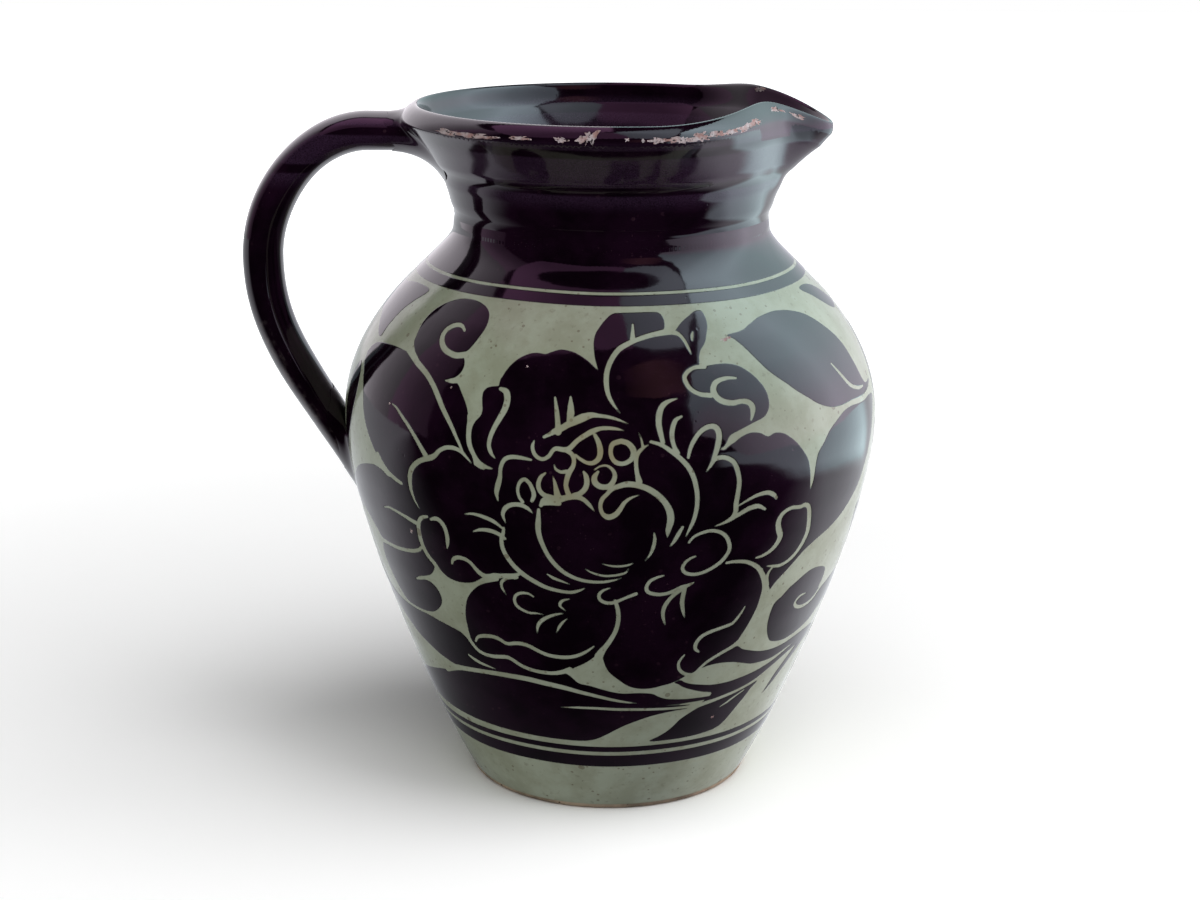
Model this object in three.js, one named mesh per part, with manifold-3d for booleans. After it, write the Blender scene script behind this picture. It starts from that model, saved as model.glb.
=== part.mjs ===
import * as THREE from "three";
import { mergeVertices } from "three/addons/utils/BufferGeometryUtils.js";
import Module from "manifold-3d";

// Carved stoneware jug: a thrown body with a pulled lip, a pulled handle, and the wads of clay
// that lute the handle's two roots to the wall.
// Millimetres, +Z up. The origin is on the vessel's axis where the foot meets the table, the lip
// points along +X and the handle stands out along -X.

const wasm = await Module();
wasm.setup();

// Outer wall, as radii at heights above the table
const footRadius = 39.5;
const bellyRadius = 74.2;
const bellyHeight = 104.8;
const neckRadius = 43.6;
const neckHeight = 156.7;
const rimRadius = 57.5;
const rimHeight = 190;

// How far each stretch of the wall keeps its direction as it leaves a foot, belly, neck or rim
const footSpring = 3.5;
const footSpringRise = 4.2;
const lowerFullness = 31.9;
const upperFullness = 30.1;
const collarBelowNeck = 7.2;
const throatAboveNeck = 10.4;
const rimFlare = 9.6;

// Rim: a rounded crest whose top slopes outwards and down to the outer edge
const rimSlope = 4.1;
const rimDrop = 4.5;
const crestRoundness = 1.8;
const rimBulge = 0.8;

// Thickness of the clay
const lowerWall = 6.5;
const bellyWall = 5;
const neckWall = 4.5;
const floorThickness = 7;
const floorFillet = 9;
const floorFilletEase = 3;
const footBevel = 1.2;

// Lines cut into the wall while it turned, and finger grooves left on the neck by throwing
const lowerFootLine = { height: 20.3, halfWidth: 0.6, depth: 0.35 };
const upperFootLine = { height: 23.4, halfWidth: 0.7, depth: 0.4 };
const shoulderLine = { height: neckHeight - 9.4, halfWidth: 0.8, depth: 0.45 };
const lowerThrowingGroove = { height: neckHeight + 3.8, halfWidth: 3.2, depth: 0.55 };
const upperThrowingGroove = { height: neckHeight + 14.8, halfWidth: 3.4, depth: 0.5 };

// Lip: the rim pinched in and raised on two sides, and pulled out and down between them.
// Each side has the angles from the lip's middle over which it works, and its pinch and rise.
const lipStartAboveNeck = 1.3;
const lipTurn = THREE.MathUtils.degToRad(-4.8);
const lipReach = 6.2;
const lipDip = 4.3;
const lipEasing = 2.1;
const lipThinning = 0.62;
const lipSideBlend = THREE.MathUtils.degToRad(20);
const frontOfLip = {
  channel: THREE.MathUtils.degToRad(11),
  pinchFull: THREE.MathUtils.degToRad(22),
  pinchEnd: THREE.MathUtils.degToRad(74),
  pinch: 9,
  rise: 2.9,
};
const backOfLip = {
  channel: THREE.MathUtils.degToRad(24),
  pinchFull: THREE.MathUtils.degToRad(37),
  pinchEnd: THREE.MathUtils.degToRad(72),
  pinch: 4.6,
  rise: 2.6,
};

// Handle: an oval pulled strap, measured along its middle line
const handleStandoff = 22;
const handleTopBelowRim = 8.2;
const handleOutermostBelowRim = 43;
const handleRootBelowBelly = 10.8;
const handleTopRun = 9;
const handleTopCurve = 16;
const handleUpperBow = 17;
const handleLowerBow = 18;
const handleRootAngle = THREE.MathUtils.degToRad(56);
const handleRootCurve = 28;
const handleThickness = { top: 11.2, middle: 11.8, root: 10.4 };
const handleWidth = { top: 20, middle: 17, root: 15.5 };
const handleRootDepth = 14;
const handleRootSplay = { width: 4, thickness: 0.4, reach: 16 };

// Wads of clay smoothed round the roots: how far each stands proud of the handle
const upperWad = { reach: 4, lip: 0.7, finger: 10, outer: 1.3, sides: 5 };
const lowerWad = { reach: 8, lip: 0.8, finger: 4, outer: 0.8, sides: 5 };
const wadHollow = 2.6;

// Least clearance between neighbouring pieces of clay
const seat = 0.3;

// Facets: sides round the pot, and how far the section may bend or run between two rings
const turns = 72;
const outerBend = THREE.MathUtils.degToRad(7);
const innerBend = THREE.MathUtils.degToRad(11);
const ringSpacing = 16;
const lineMargin = 0.9;
const handleSides = 18;
const handleSteps = 36;
const wadSteps = 9;
const rimSteps = 4;
const filletSteps = 3;
const blankSteps = 40;

// Fineness of the searches along a curve, and the distance at which vertices are one
const curveSamples = 600;
const halvings = 30;
const weldDistance = 1e-4;

const darkGlaze = { color: 0x2b2229, roughness: 0.16, metalness: 0 };

const lipStart = neckHeight + lipStartAboveNeck;
const rimEdgeHeight = rimHeight - rimDrop;
const rimCrestRadius = rimRadius - rimSlope;
const linesInWall = [
  lowerFootLine, upperFootLine, shoulderLine, lowerThrowingGroove, upperThrowingGroove,
];

// Outer face of the wall from the foot to the rim's outer edge, as radius and height
function wallCurve() {
  const foot = new THREE.Vector2(footRadius, footBevel);
  const belly = new THREE.Vector2(bellyRadius, bellyHeight);
  const neck = new THREE.Vector2(neckRadius, neckHeight);
  const edge = new THREE.Vector2(rimRadius, rimEdgeHeight);
  const curve = new THREE.CurvePath();
  curve.add(new THREE.CubicBezierCurve(
    foot,
    new THREE.Vector2(footRadius + footSpring, footBevel + footSpringRise),
    new THREE.Vector2(bellyRadius, bellyHeight - lowerFullness),
    belly,
  ));
  curve.add(new THREE.CubicBezierCurve(
    belly,
    new THREE.Vector2(bellyRadius, bellyHeight + upperFullness),
    new THREE.Vector2(neckRadius, neckHeight - collarBelowNeck),
    neck,
  ));
  curve.add(new THREE.CubicBezierCurve(
    neck,
    new THREE.Vector2(neckRadius, neckHeight + throatAboveNeck),
    new THREE.Vector2(rimRadius - rimFlare, rimEdgeHeight - rimFlare),
    edge,
  ));
  return curve;
}

// How far along the wall's curve a height lies, found by halving
function shareAtHeight(curve, height) {
  let low = 0;
  let high = 1;
  for (let pass = 0; pass < halvings; pass += 1) {
    const middle = (low + high) / 2;
    if (curve.getPoint(middle).y < height) low = middle;
    else high = middle;
  }
  return (low + high) / 2;
}

// Radius of the plain outer wall at a height
function wallRadiusAt(curve, height) {
  return curve.getPoint(shareAtHeight(curve, height)).x;
}

// Depth of the turned lines and finger grooves at a height
function lineDepthAt(height) {
  let depth = 0;
  for (const line of linesInWall) {
    const offset = Math.abs(height - line.height) / line.halfWidth;
    if (offset < 1) depth += line.depth * 0.5 * (1 + Math.cos(Math.PI * offset));
  }
  return depth;
}

// Heights of the outer face's rings of points: closer where the wall bends, and on each line
function outerHeights(curve) {
  const plain = bendPoints(curve, outerBend).map((point) => point.y);
  const heights = plain.filter((height) => !linesInWall.some(
    (line) => Math.abs(height - line.height) < line.halfWidth + lineMargin,
  ));
  for (const line of linesInWall) {
    heights.push(line.height - line.halfWidth, line.height, line.height + line.halfWidth);
  }
  return heights.sort((a, b) => a - b);
}

// Points along a curve, kept wherever it has turned by an angle or run on for a distance
function bendPoints(curve, bend) {
  const kept = [curve.getPoint(0)];
  let direction = curve.getTangent(0);
  for (let sample = 1; sample < curveSamples; sample += 1) {
    const point = curve.getPoint(sample / curveSamples);
    const heading = curve.getTangent(sample / curveSamples);
    const turned = Math.acos(Math.min(1, heading.dot(direction)));
    if (turned > bend || point.distanceTo(kept[kept.length - 1]) > ringSpacing) {
      kept.push(point);
      direction = heading;
    }
  }
  kept.push(curve.getPoint(1));
  return kept;
}

// Thickness of the clay at a height
function wallThicknessAt(height) {
  if (height < bellyHeight) {
    return THREE.MathUtils.mapLinear(height, 0, bellyHeight, lowerWall, bellyWall);
  }
  const share = THREE.MathUtils.smoothstep(height, bellyHeight, neckHeight);
  return THREE.MathUtils.lerp(bellyWall, neckWall, share);
}

// Inner face of the wall from under the rim down to the floor's fillet
function innerFace(curve) {
  const points = [];
  for (const height of bendPoints(curve, innerBend).map((point) => point.y)) {
    const along = shareAtHeight(curve, height);
    const outer = curve.getPoint(along);
    const direction = curve.getTangent(along);
    const thickness = wallThicknessAt(height);
    const inner = new THREE.Vector2(
      outer.x - direction.y * thickness,
      outer.y + direction.x * thickness,
    );
    const aboveFloor = inner.y > floorThickness + floorFillet;
    if (aboveFloor && height < rimEdgeHeight - rimDrop) points.push(inner);
  }
  return points.reverse();
}

// Rim from the outer edge over the crest to the top of the inner face
function rimFace(innerTop) {
  const edge = new THREE.Vector2(rimRadius, rimEdgeHeight);
  const crest = new THREE.Vector2(rimCrestRadius, rimHeight);
  const outside = new THREE.CubicBezierCurve(
    edge,
    new THREE.Vector2(rimRadius + rimBulge, rimEdgeHeight + rimBulge),
    new THREE.Vector2(rimCrestRadius + crestRoundness, rimHeight),
    crest,
  );
  const inside = new THREE.CubicBezierCurve(
    crest,
    new THREE.Vector2(rimCrestRadius - crestRoundness, rimHeight),
    new THREE.Vector2(innerTop.x + crestRoundness, innerTop.y + crestRoundness),
    innerTop,
  );
  return [...outside.getPoints(rimSteps).slice(1), ...inside.getPoints(rimSteps).slice(1, -1)];
}

// Whole section of the body, from the middle of the underside round to the middle of the floor
function bodySection() {
  const curve = wallCurve();
  const outer = outerHeights(curve).map(
    (height) => new THREE.Vector2(wallRadiusAt(curve, height) - lineDepthAt(height), height),
  );
  const inner = innerFace(curve);
  const wallEnd = inner[inner.length - 1];
  const floor = new THREE.QuadraticBezierCurve(
    wallEnd,
    new THREE.Vector2(wallEnd.x - floorFilletEase, floorThickness),
    new THREE.Vector2(wallEnd.x - floorFillet, floorThickness),
  );
  return [
    new THREE.Vector2(0, 0),
    new THREE.Vector2(footRadius - footBevel, 0),
    ...outer,
    ...rimFace(inner[0]),
    ...inner,
    ...floor.getPoints(filletSteps).slice(1),
    new THREE.Vector2(0, floorThickness),
  ];
}

// Moves one point of the turned pot to where the potter's fingers push it for the lip
function pullLip(point) {
  const radius = Math.hypot(point.x, point.y);
  if (point.z <= lipStart || radius < 1) return;
  const azimuth = Math.atan2(point.y, point.x) - lipTurn;
  const turn = Math.atan2(Math.sin(azimuth), Math.cos(azimuth));
  const side = turn < 0 ? frontOfLip : backOfLip;
  const towardsBack = THREE.MathUtils.smoothstep(turn, -lipSideBlend, lipSideBlend);
  const pinch = THREE.MathUtils.lerp(frontOfLip.pinch, backOfLip.pinch, towardsBack);
  const rise = THREE.MathUtils.lerp(frontOfLip.rise, backOfLip.rise, towardsBack);
  const pinched = 1 - THREE.MathUtils.smoothstep(Math.abs(turn), side.pinchFull, side.pinchEnd);
  const channel = Math.exp(-((turn / side.channel) ** 2));
  const strength = ((point.z - lipStart) / (rimHeight - lipStart)) ** lipEasing;
  const ledge = Math.max(0, radius - rimCrestRadius);
  const outward = (pinch + lipReach) * channel - pinch * pinched;
  const upward = rise * pinched - (rise + lipDip) * channel;
  const stretch = (radius + strength * outward - lipThinning * pinched * ledge) / radius;
  point.x *= stretch;
  point.y *= stretch;
  point.z += strength * upward;
}

// Turns a section round the vertical axis and pulls the lip
function turnedForm(section) {
  const geometry = new THREE.LatheGeometry(section, turns);
  geometry.rotateX(Math.PI / 2);
  const positions = geometry.getAttribute("position");
  const point = new THREE.Vector3();
  for (let index = 0; index < positions.count; index += 1) {
    point.fromBufferAttribute(positions, index);
    pullLip(point);
    positions.setXYZ(index, point.x, point.y, point.z);
  }
  return weld(geometry);
}

// Merges the vertices that faces share and drops faces that have no area
function weld(geometry) {
  const bare = new THREE.BufferGeometry();
  bare.setAttribute("position", geometry.getAttribute("position"));
  bare.setIndex(geometry.getIndex());
  const merged = mergeVertices(bare, weldDistance);
  const index = merged.getIndex().array;
  const kept = [];
  for (let corner = 0; corner < index.length; corner += 3) {
    const [a, b, c] = index.subarray(corner, corner + 3);
    if (a !== b && b !== c && c !== a) kept.push(a, b, c);
  }
  merged.setIndex(kept);
  return merged;
}

function toSolid(geometry) {
  return new wasm.Manifold(new wasm.Mesh({
    numProp: 3,
    vertProperties: new Float32Array(geometry.getAttribute("position").array),
    triVerts: new Uint32Array(geometry.getIndex().array),
  }));
}

function toGeometry(solid) {
  const mesh = solid.getMesh();
  const geometry = new THREE.BufferGeometry();
  geometry.setAttribute("position", new THREE.BufferAttribute(mesh.vertProperties, 3));
  geometry.setIndex(new THREE.BufferAttribute(mesh.triVerts, 1));
  return geometry;
}

// The pot's outside as one full solid, grown by the seat's clearance, which cuts what lies on it
function potBlank() {
  const curve = wallCurve();
  const outer = [];
  for (let step = 0; step <= blankSteps; step += 1) {
    const along = step / blankSteps;
    const point = curve.getPoint(along);
    const direction = curve.getTangent(along);
    outer.push(new THREE.Vector2(point.x + direction.y * seat, point.y - direction.x * seat));
  }
  const section = [
    new THREE.Vector2(0, -seat),
    new THREE.Vector2(footRadius, -seat),
    ...outer,
    new THREE.Vector2(rimRadius + rimBulge + seat, rimEdgeHeight + seat),
    new THREE.Vector2(rimCrestRadius + crestRoundness + seat, rimHeight + seat),
    new THREE.Vector2(0, rimHeight + seat),
  ];
  return toSolid(turnedForm(section));
}

// Middle line of the handle in the plane of the axis, from inside the rim to inside the belly
function handleLine() {
  const curve = wallCurve();
  const topHeight = rimHeight - handleTopBelowRim;
  const start = new THREE.Vector3(-neckRadius, 0, topHeight);
  const shoulder = new THREE.Vector3(-(rimRadius + handleTopRun), 0, topHeight);
  const outermostHeight = rimHeight - handleOutermostBelowRim;
  const outermost = new THREE.Vector3(-(bellyRadius + handleStandoff), 0, outermostHeight);
  const rootHeight = bellyHeight - handleRootBelowBelly;
  const root = new THREE.Vector3(-wallRadiusAt(curve, rootHeight), 0, rootHeight);
  const approach = new THREE.Vector3(Math.cos(handleRootAngle), 0, -Math.sin(handleRootAngle));
  const inside = root.clone().addScaledVector(approach, handleRootDepth);
  const line = new THREE.CurvePath();
  line.add(new THREE.LineCurve3(start, shoulder));
  line.add(new THREE.CubicBezierCurve3(
    shoulder,
    shoulder.clone().add(new THREE.Vector3(-handleTopCurve, 0, 0)),
    outermost.clone().add(new THREE.Vector3(0, 0, handleUpperBow)),
    outermost,
  ));
  line.add(new THREE.CubicBezierCurve3(
    outermost,
    outermost.clone().add(new THREE.Vector3(0, 0, -handleLowerBow)),
    root.clone().addScaledVector(approach, -handleRootCurve),
    root,
  ));
  line.add(new THREE.LineCurve3(root, inside));
  return line;
}

// Value that runs from the top through the middle to the root of the handle
function alongHandle(values, share) {
  if (share < 0.5) return THREE.MathUtils.lerp(values.top, values.middle, share * 2);
  return THREE.MathUtils.lerp(values.middle, values.root, share * 2 - 1);
}

// Half sizes of the handle's oval at a distance along its middle line
function handleOval(distance, length, extra) {
  const share = distance / length;
  const fromEnd = Math.min(distance, length - distance);
  const splay = 1 - THREE.MathUtils.smoothstep(fromEnd, 0, handleRootSplay.reach);
  return {
    thick: alongHandle(handleThickness, share) / 2 + handleRootSplay.thickness * splay + extra,
    wide: alongHandle(handleWidth, share) / 2 + handleRootSplay.width * splay + extra,
    shift: 0,
  };
}

// Closed skin over a run of ovals that stand square to the middle line
function loft(line, from, to, steps, ovalAt) {
  const length = line.getLength();
  const side = new THREE.Vector3(0, 1, 0);
  const positions = [];
  const faces = [];
  for (let step = 0; step <= steps; step += 1) {
    const distance = THREE.MathUtils.lerp(from, to, step / steps);
    const centre = line.getPointAt(distance / length);
    const ahead = line.getTangentAt(distance / length);
    const outward = new THREE.Vector3().crossVectors(side, ahead);
    const oval = ovalAt(distance);
    centre.addScaledVector(outward, oval.shift);
    for (let corner = 0; corner < handleSides; corner += 1) {
      const angle = (corner / handleSides) * Math.PI * 2;
      const point = centre.clone();
      point.addScaledVector(outward, Math.cos(angle) * oval.thick);
      point.addScaledVector(side, Math.sin(angle) * oval.wide);
      positions.push(point.x, point.y, point.z);
    }
  }
  for (let step = 0; step < steps; step += 1) {
    for (let corner = 0; corner < handleSides; corner += 1) {
      const next = (corner + 1) % handleSides;
      const a = step * handleSides + corner;
      const b = step * handleSides + next;
      faces.push(a, b, b + handleSides, a, b + handleSides, a + handleSides);
    }
  }
  const last = steps * handleSides;
  for (let corner = 1; corner < handleSides - 1; corner += 1) {
    faces.push(0, corner + 1, corner);
    faces.push(last, last + corner, last + corner + 1);
  }
  const geometry = new THREE.BufferGeometry();
  geometry.setAttribute("position", new THREE.Float32BufferAttribute(positions, 3));
  geometry.setIndex(faces);
  return weld(geometry);
}

// The handle's full strap, grown by a clearance, before its roots are cut to the wall
function handleStrap(clearance) {
  const line = handleLine();
  const length = line.getLength();
  return toSolid(loft(
    line, 0, length, handleSteps, (distance) => handleOval(distance, length, clearance),
  ));
}

// Collar of clay whose size swells from a low edge on the handle to a fillet on the wall
function wadBlank(wad, atTop) {
  const line = handleLine();
  const length = line.getLength();
  const wallEnd = atTop ? 0 : length;
  const wallAt = atTop ? rimRadius - neckRadius : length - handleRootDepth;
  const edge = atTop ? wallAt + wad.reach : wallAt - wad.reach;
  const from = Math.min(wallEnd, edge);
  const to = Math.max(wallEnd, edge);
  const oval = (distance) => {
    const nearness = 1 - Math.abs(distance - wallEnd) / Math.abs(edge - wallEnd);
    const swell = nearness ** wadHollow;
    const finger = wad.lip + wad.finger * swell;
    const outer = wad.lip + (wad.outer - wad.lip) * swell;
    const base = handleOval(distance, length, 0);
    return {
      thick: base.thick + (finger + outer) / 2,
      wide: base.wide + wad.lip + wad.sides * swell,
      shift: (outer - finger) / 2,
    };
  };
  return toSolid(loft(line, from, to, wadSteps, oval));
}

function piece(name, geometry, finish) {
  const mesh = new THREE.Mesh(geometry, new THREE.MeshStandardMaterial(finish));
  mesh.name = name;
  return mesh;
}

// The jug
const jug = new THREE.Group();
const pot = potBlank();
const grownStrap = handleStrap(seat);
const handle = handleStrap(0).subtract(pot);
const upperClay = wadBlank(upperWad, true).subtract(pot).subtract(grownStrap);
const lowerClay = wadBlank(lowerWad, false).subtract(pot).subtract(grownStrap);

jug.add(piece("thrown_body", turnedForm(bodySection()), darkGlaze));
jug.add(piece("pulled_handle", toGeometry(handle), darkGlaze));
jug.add(piece("upper_luting_clay", toGeometry(upperClay), darkGlaze));
jug.add(piece("lower_luting_clay", toGeometry(lowerClay), darkGlaze));

export default jug;
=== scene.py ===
"""Looks of the carved jug: slip, carving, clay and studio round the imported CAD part."""

from __future__ import annotations

import logging
import math
from dataclasses import dataclass, field
from enum import Enum

import bpy
import numpy as np
from mathutils import Matrix, Vector
from mathutils.geometry import delaunay_2d_cdt

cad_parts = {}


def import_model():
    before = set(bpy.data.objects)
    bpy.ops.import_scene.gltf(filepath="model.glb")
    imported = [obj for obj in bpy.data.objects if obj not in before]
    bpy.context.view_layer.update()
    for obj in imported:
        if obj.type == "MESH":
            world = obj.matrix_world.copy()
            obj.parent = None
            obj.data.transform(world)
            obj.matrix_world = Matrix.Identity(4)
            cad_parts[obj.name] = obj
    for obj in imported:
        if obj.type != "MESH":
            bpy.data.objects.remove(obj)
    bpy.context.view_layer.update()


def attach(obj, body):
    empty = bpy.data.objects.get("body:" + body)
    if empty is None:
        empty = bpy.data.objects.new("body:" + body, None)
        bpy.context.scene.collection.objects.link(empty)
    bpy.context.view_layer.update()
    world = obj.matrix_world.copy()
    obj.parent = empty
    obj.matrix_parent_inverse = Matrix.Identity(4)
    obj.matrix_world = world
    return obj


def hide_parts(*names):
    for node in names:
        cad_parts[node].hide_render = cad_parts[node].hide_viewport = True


LOG = logging.getLogger("carved_jug")
MM = 0.001
BELLY = 74.2
HALF_TURN = math.pi * BELLY
SEAM = -HALF_TURN / 2
FAR_SEAM = SEAM + 2 * HALF_TURN
Array = np.ndarray
Point = tuple[float, float]
Triple = tuple[float, float, float]
Run = tuple[int, ...]
Stroke = tuple[Run, Run]
Thing = bpy.types.Object
Node = bpy.types.Node
Material = bpy.types.Material
Sockets = bpy.types.NodeOutputs
NodeTree = bpy.types.NodeTree
Socket = bpy.types.NodeSocket
Value = Socket | float | tuple[float, ...]

# Outlines of the slip left standing on the front, in tenths of a millimetre: across and up
# along the wall of the first point, then the step to each next one
SLIP_SHAPES: dict[str, Run] = {
    "scroll_leaf": (-663, 1391, -20, 34, -8, 38, 12, 37, 33, 30, 56, 23, 65, 6, 60, -11, 35, -22,
      12, -36, -10, -38, -18, -36, -24, -16, 20, -9, 9, -17, -2, -19, -15, -17, -28, -11, 39, -3,
      25, -24, 22, -28, 12, -28, 2, -44, 26, -80, -80, 60, -100, 120),
    "left_petal": (-725, 1375, -75, -1, -80, -10, -42, -24, -2, -34, 39, -36, 38, -42, 29, -48, 38,
      -48, 45, -45, 40, -27, 95, -60, 150, 0, 90, 120, -80, 110, -100, 100, -100, 36),
    "left_lower_petal": (-600, 1040, -70, -9, -40, 12, -40, 4, -50, -9, -60, -17, -50, -23, -50,
      -30, -60, -22, -70, -10, 50, -36, 57, -20, 53, -4, 50, -14, 40, -23, 34, -23, 106, -11, 120,
      25, 80, 90),
    "left_curl_petal": (-544, 808, -10, -26, -22, -17, -29, -10, -28, -8, -26, -16, 24, 3, 30, 8,
      27, -2, 20, -15, 8, -23, -6, -22, -20, -20, -30, -18, -39, -10, -55, -3, -62, 3, -32, 21,
      -26, 35, -17, 38, -4, 34, 13, 30, 28, 18, 100, 17, 120, 15),
    "heart": (-532, 804, 19, -19, 25, -12, 38, -3, 40, 7, 26, 13, 24, 14, 60, 16, 200, -60, 120, 0,
      180, 20, 150, 60, 140, -22, 110, 82, -15, 130, -7, 45, -9, 31, -19, 28, -25, 28, -25, 20,
      -19, 11, -26, 5, -21, -6, -10, 2, -18, 10, -28, 4, -28, -7, -31, -16, -39, -5, -80, 110,
      -120, 20, -110, -10, -110, 60, -170, -80, -10, -160, -80, 20, -100, -15, -90, -75, 10, -70,
      -20, -60, 10, -80),
    "bud_cap": (-312, 1342, 4, 14, 8, 19, 13, 19, 18, 17, 25, 13, 25, 5, 25, -2, 18, 7, 26, 8, 25,
      -2, 25, -7, 31, -17, 19, -15, 17, -13, 53, -28, 20, -140, -320, -40, -30, 80),
    "upright_petal": (-354, 1313, 10, 11, 25, 6, 39, 0, 20, -50, -10, -140, -40, -25, -34, 26, -19,
      22, -9, 25, 1, 25, 8, 21, 13, 16, 3, 16, -5, 20, -3, 16),
    "bud": (-34, 1390, -10, 29, -5, 25, -2, 25, 4, 22, 13, 22, 18, 21, 19, 15, 22, 4, 62, 1, 63, 0,
      16, -4, 10, -13, 1, -18, -5, -15, -12, -7, -40, -17, 80, 9, 19, -13, 13, -20, -3, -18, -1,
      -19, 14, -15, 18, -6, -50, -38, 30, -60, -240, -20, -20, 70),
    "bud_leaf": (205, 1487, 8, 13, 25, 21, 31, 17, 25, 12, 24, 0, 7, -19, -3, -25, -13, -25, -15,
      -25, -19, -18, -11, -19, -4, -16, -16, -2, -14, 14, -4, 35),
    "s_leaf": (260, 1390, 28, 2, 31, 2, 31, -2, 31, -9, 25, -17, 22, -22, 16, -25, 6, -25, -3, -25,
      -13, -19, -19, -10, -21, -5, -25, -8, -25, -8, -28, -11, -26, -28, -50, 40, -40, 90, 0, 60,
      25, 20),
    "right_petal": (586, 1025, 14, 67, 9, 29, 24, 22, 25, 24, 34, 18, 50, 19, 50, 5, 58, -5, 50,
      -2, 50, 2, 60, -10, -16, -30, -19, -26, -13, -38, -20, -42, -25, -41, -27, -39, -40, -34,
      -58, -35, -59, -25, -66, -22, -48, -22, -32, -24, -31, -26, -31, -26, -25, -28, -10, 34, -30,
      50, 60, 180),
    "upper_right_leaf": (380, 1471, 39, 5, 31, 6, 25, 10, 25, 8, 25, 8, 38, 6, 50, 4, 50, -4, 37,
      -7, 50, -15, 42, -24, 41, -34, 34, -35, 22, -41, 12, -41, 11, -34, 15, -28, 27, -16, 56, 0,
      -43, -14, -50, -6, -59, 1, -58, 4, -58, -1, -50, 4, -34, 9, -33, 14, -33, 21, -34, 22, -33,
      27, -33, 26, -23, 23, -25, 34, -20, 28, -24, 26),
    "left_bottom_petal": (-290, 810, -29, -13, -25, -8, -25, -9, -25, -14, -25, -22, -19, -22, -13,
      -25, -9, -25, -5, -25, -2, -27, 0, -22, 5, -30, 62, -38, 100, -10, 56, -15, 84, 11, 60, 27,
      25, 13, 19, 13, 18, 15, 18, 16, 40, 60, 0, 100, -120, 30),
    "right_bottom_petal": (-22, 596, 5, -21, 5, -19, 9, -21, 15, -18, 22, -17, 22, -16, 25, -12,
      31, -6, 38, 0, 31, 6, 29, 5, 33, 12, 26, 12, 15, 4, 16, 9, 15, 12, 85, 44, 24, 12, 17, 30,
      13, 26, 12, 31, 7, 25, 2, 26, 0, 30, -7, 30, -48, 60, -80, 20, -240, -20, -100, -100, 10, -80
      ),
    "left_band_leaf": (-480, 582, -26, 15, -44, 9, -50, 7, -50, 6, -63, 0, -62, 2, -63, 6, -62, 15,
      -60, 28, -60, 34, -70, 26, -130, 10, 0, -25, 120, -15, 70, -30, 50, -32, 47, -28, 38, -28,
      32, -18, 44, -24, 44, -21, 62, -19, 50, -16, 32, -7, 43, -7, 88, 0, 100, 10, 100, 0, 100, -5,
      100, -15, 100, -30, 120, -28, 260, -2, 0, 8, -42, 2, -50, 2, -50, 5, -38, 6, -25, 10, -25,
      12, -50, 5, -50, 0, -37, 6, -38, 10, -38, 11, -37, 8, -44, 32, -96, 13, -160, 30),
    "bottom_leaf": (-940, 366, 40, 13, 62, 14, 63, 14, 62, 15, 63, 13, 62, 15, 88, 25, 200, 10,
      200, -30, 200, -45, 200, -20, 30, -4, -30, -8, -50, -2, -50, -5, -50, -9, -50, -15, -37, -13,
      -38, -18, -38, -19, -25, -11, -32, -9, -50, -4, -130, 1, -200, 3, -200, 3, -150, 3, -150, 0,
      -130, 9, -140, 12, 0, 36, 180, 6),
    "long_leaf": (375, 405, 8, 13, -8, 6, -25, 5, -25, 7, -25, 8, -25, 9, -19, 9, -15, 10, -13, 6,
      19, 6, 16, -9, 25, -9, 37, -8, 38, -7, 37, -3, 50, 0, 50, 4, 50, 5, 50, 8, 60, 13, 70, 18,
      70, 8, 0, -14, -70, -13, -70, -21, -60, -22, -50, -16, -50, -10, -50, -8, -50, -8, -50, -4),
    "thin_leaf": (304, 517, 34, 23, 42, 16, 30, 10, 21, 6, 13, -4, 19, -12, 37, -12, 38, -11, 37,
      -7, 50, -4, 50, 1, 55, 6, 70, 5, 80, -2, 40, -12, -20, -24, -30, -10, -35, -18, -45, -28,
      -40, -31, -37, -30, -35, -23, 12, 27, 25, 34, 30, 29, 35, 28, 25, 22, -45, 7, -47, -3, -38,
      -6, -50, -6, -50, 1, -50, 5, -37, 10, -38, 11, -37, 7, -38, 3, -37, -2),
    "right_scroll": (540, 650, 3, 30, 10, 15, 17, 9, 14, 12, 16, 12, 25, 11, 25, 11, 25, 8, 25, 3,
      38, -4, 37, -10, 20, -11, 8, -18, 0, -22, -7, -20, 30, -6, 54, 12, 60, 8, 54, -14, 42, -46,
      8, -44, -44, 8, -60, 8, -60, -14, -42, -19, -63, -15, -62, -9, -50, -3, -44, 6, -31, 9, -16,
      13, -16, 22, -12, 28),
    "foot_leaf": (168, 269, 32, 15, 31, 16, 25, 19, 19, 19, 25, 15, 25, 13, 25, 9, 38, 6, 43, 7,
      69, 10, 63, 12, 37, 6, -24, -20, -20, -26, -25, -28, -25, -29, -25, -22, -31, -13, -50, -6,
      -62, -4, -88, -1),
    "side_leaf_left": (-790, 1552, -43, -44, -34, -41, -17, -49, -6, -36, -40, 4, -60, 24, -70, 22,
      -160, 12, 0, 80, 140, 10, 100, 16, 100, 8),
    "side_leaf_right": (864, 1554, 52, -30, 50, -32, 48, -26, 50, -14, 60, 14, -48, 42, -76, 38,
      -80, 14),
    "root_leaf": (-956, 1294, 42, -32, 14, -52, -16, -66, -38, -58, -56, -52, -30, 6, 24, 60, 16,
      80, 4, 70),
    "calyx_join": (150, 1240, 34, 70, 26, 30, 45, 0, 35, -40, 20, -60, -30, -70, -80, 20),
}

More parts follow.
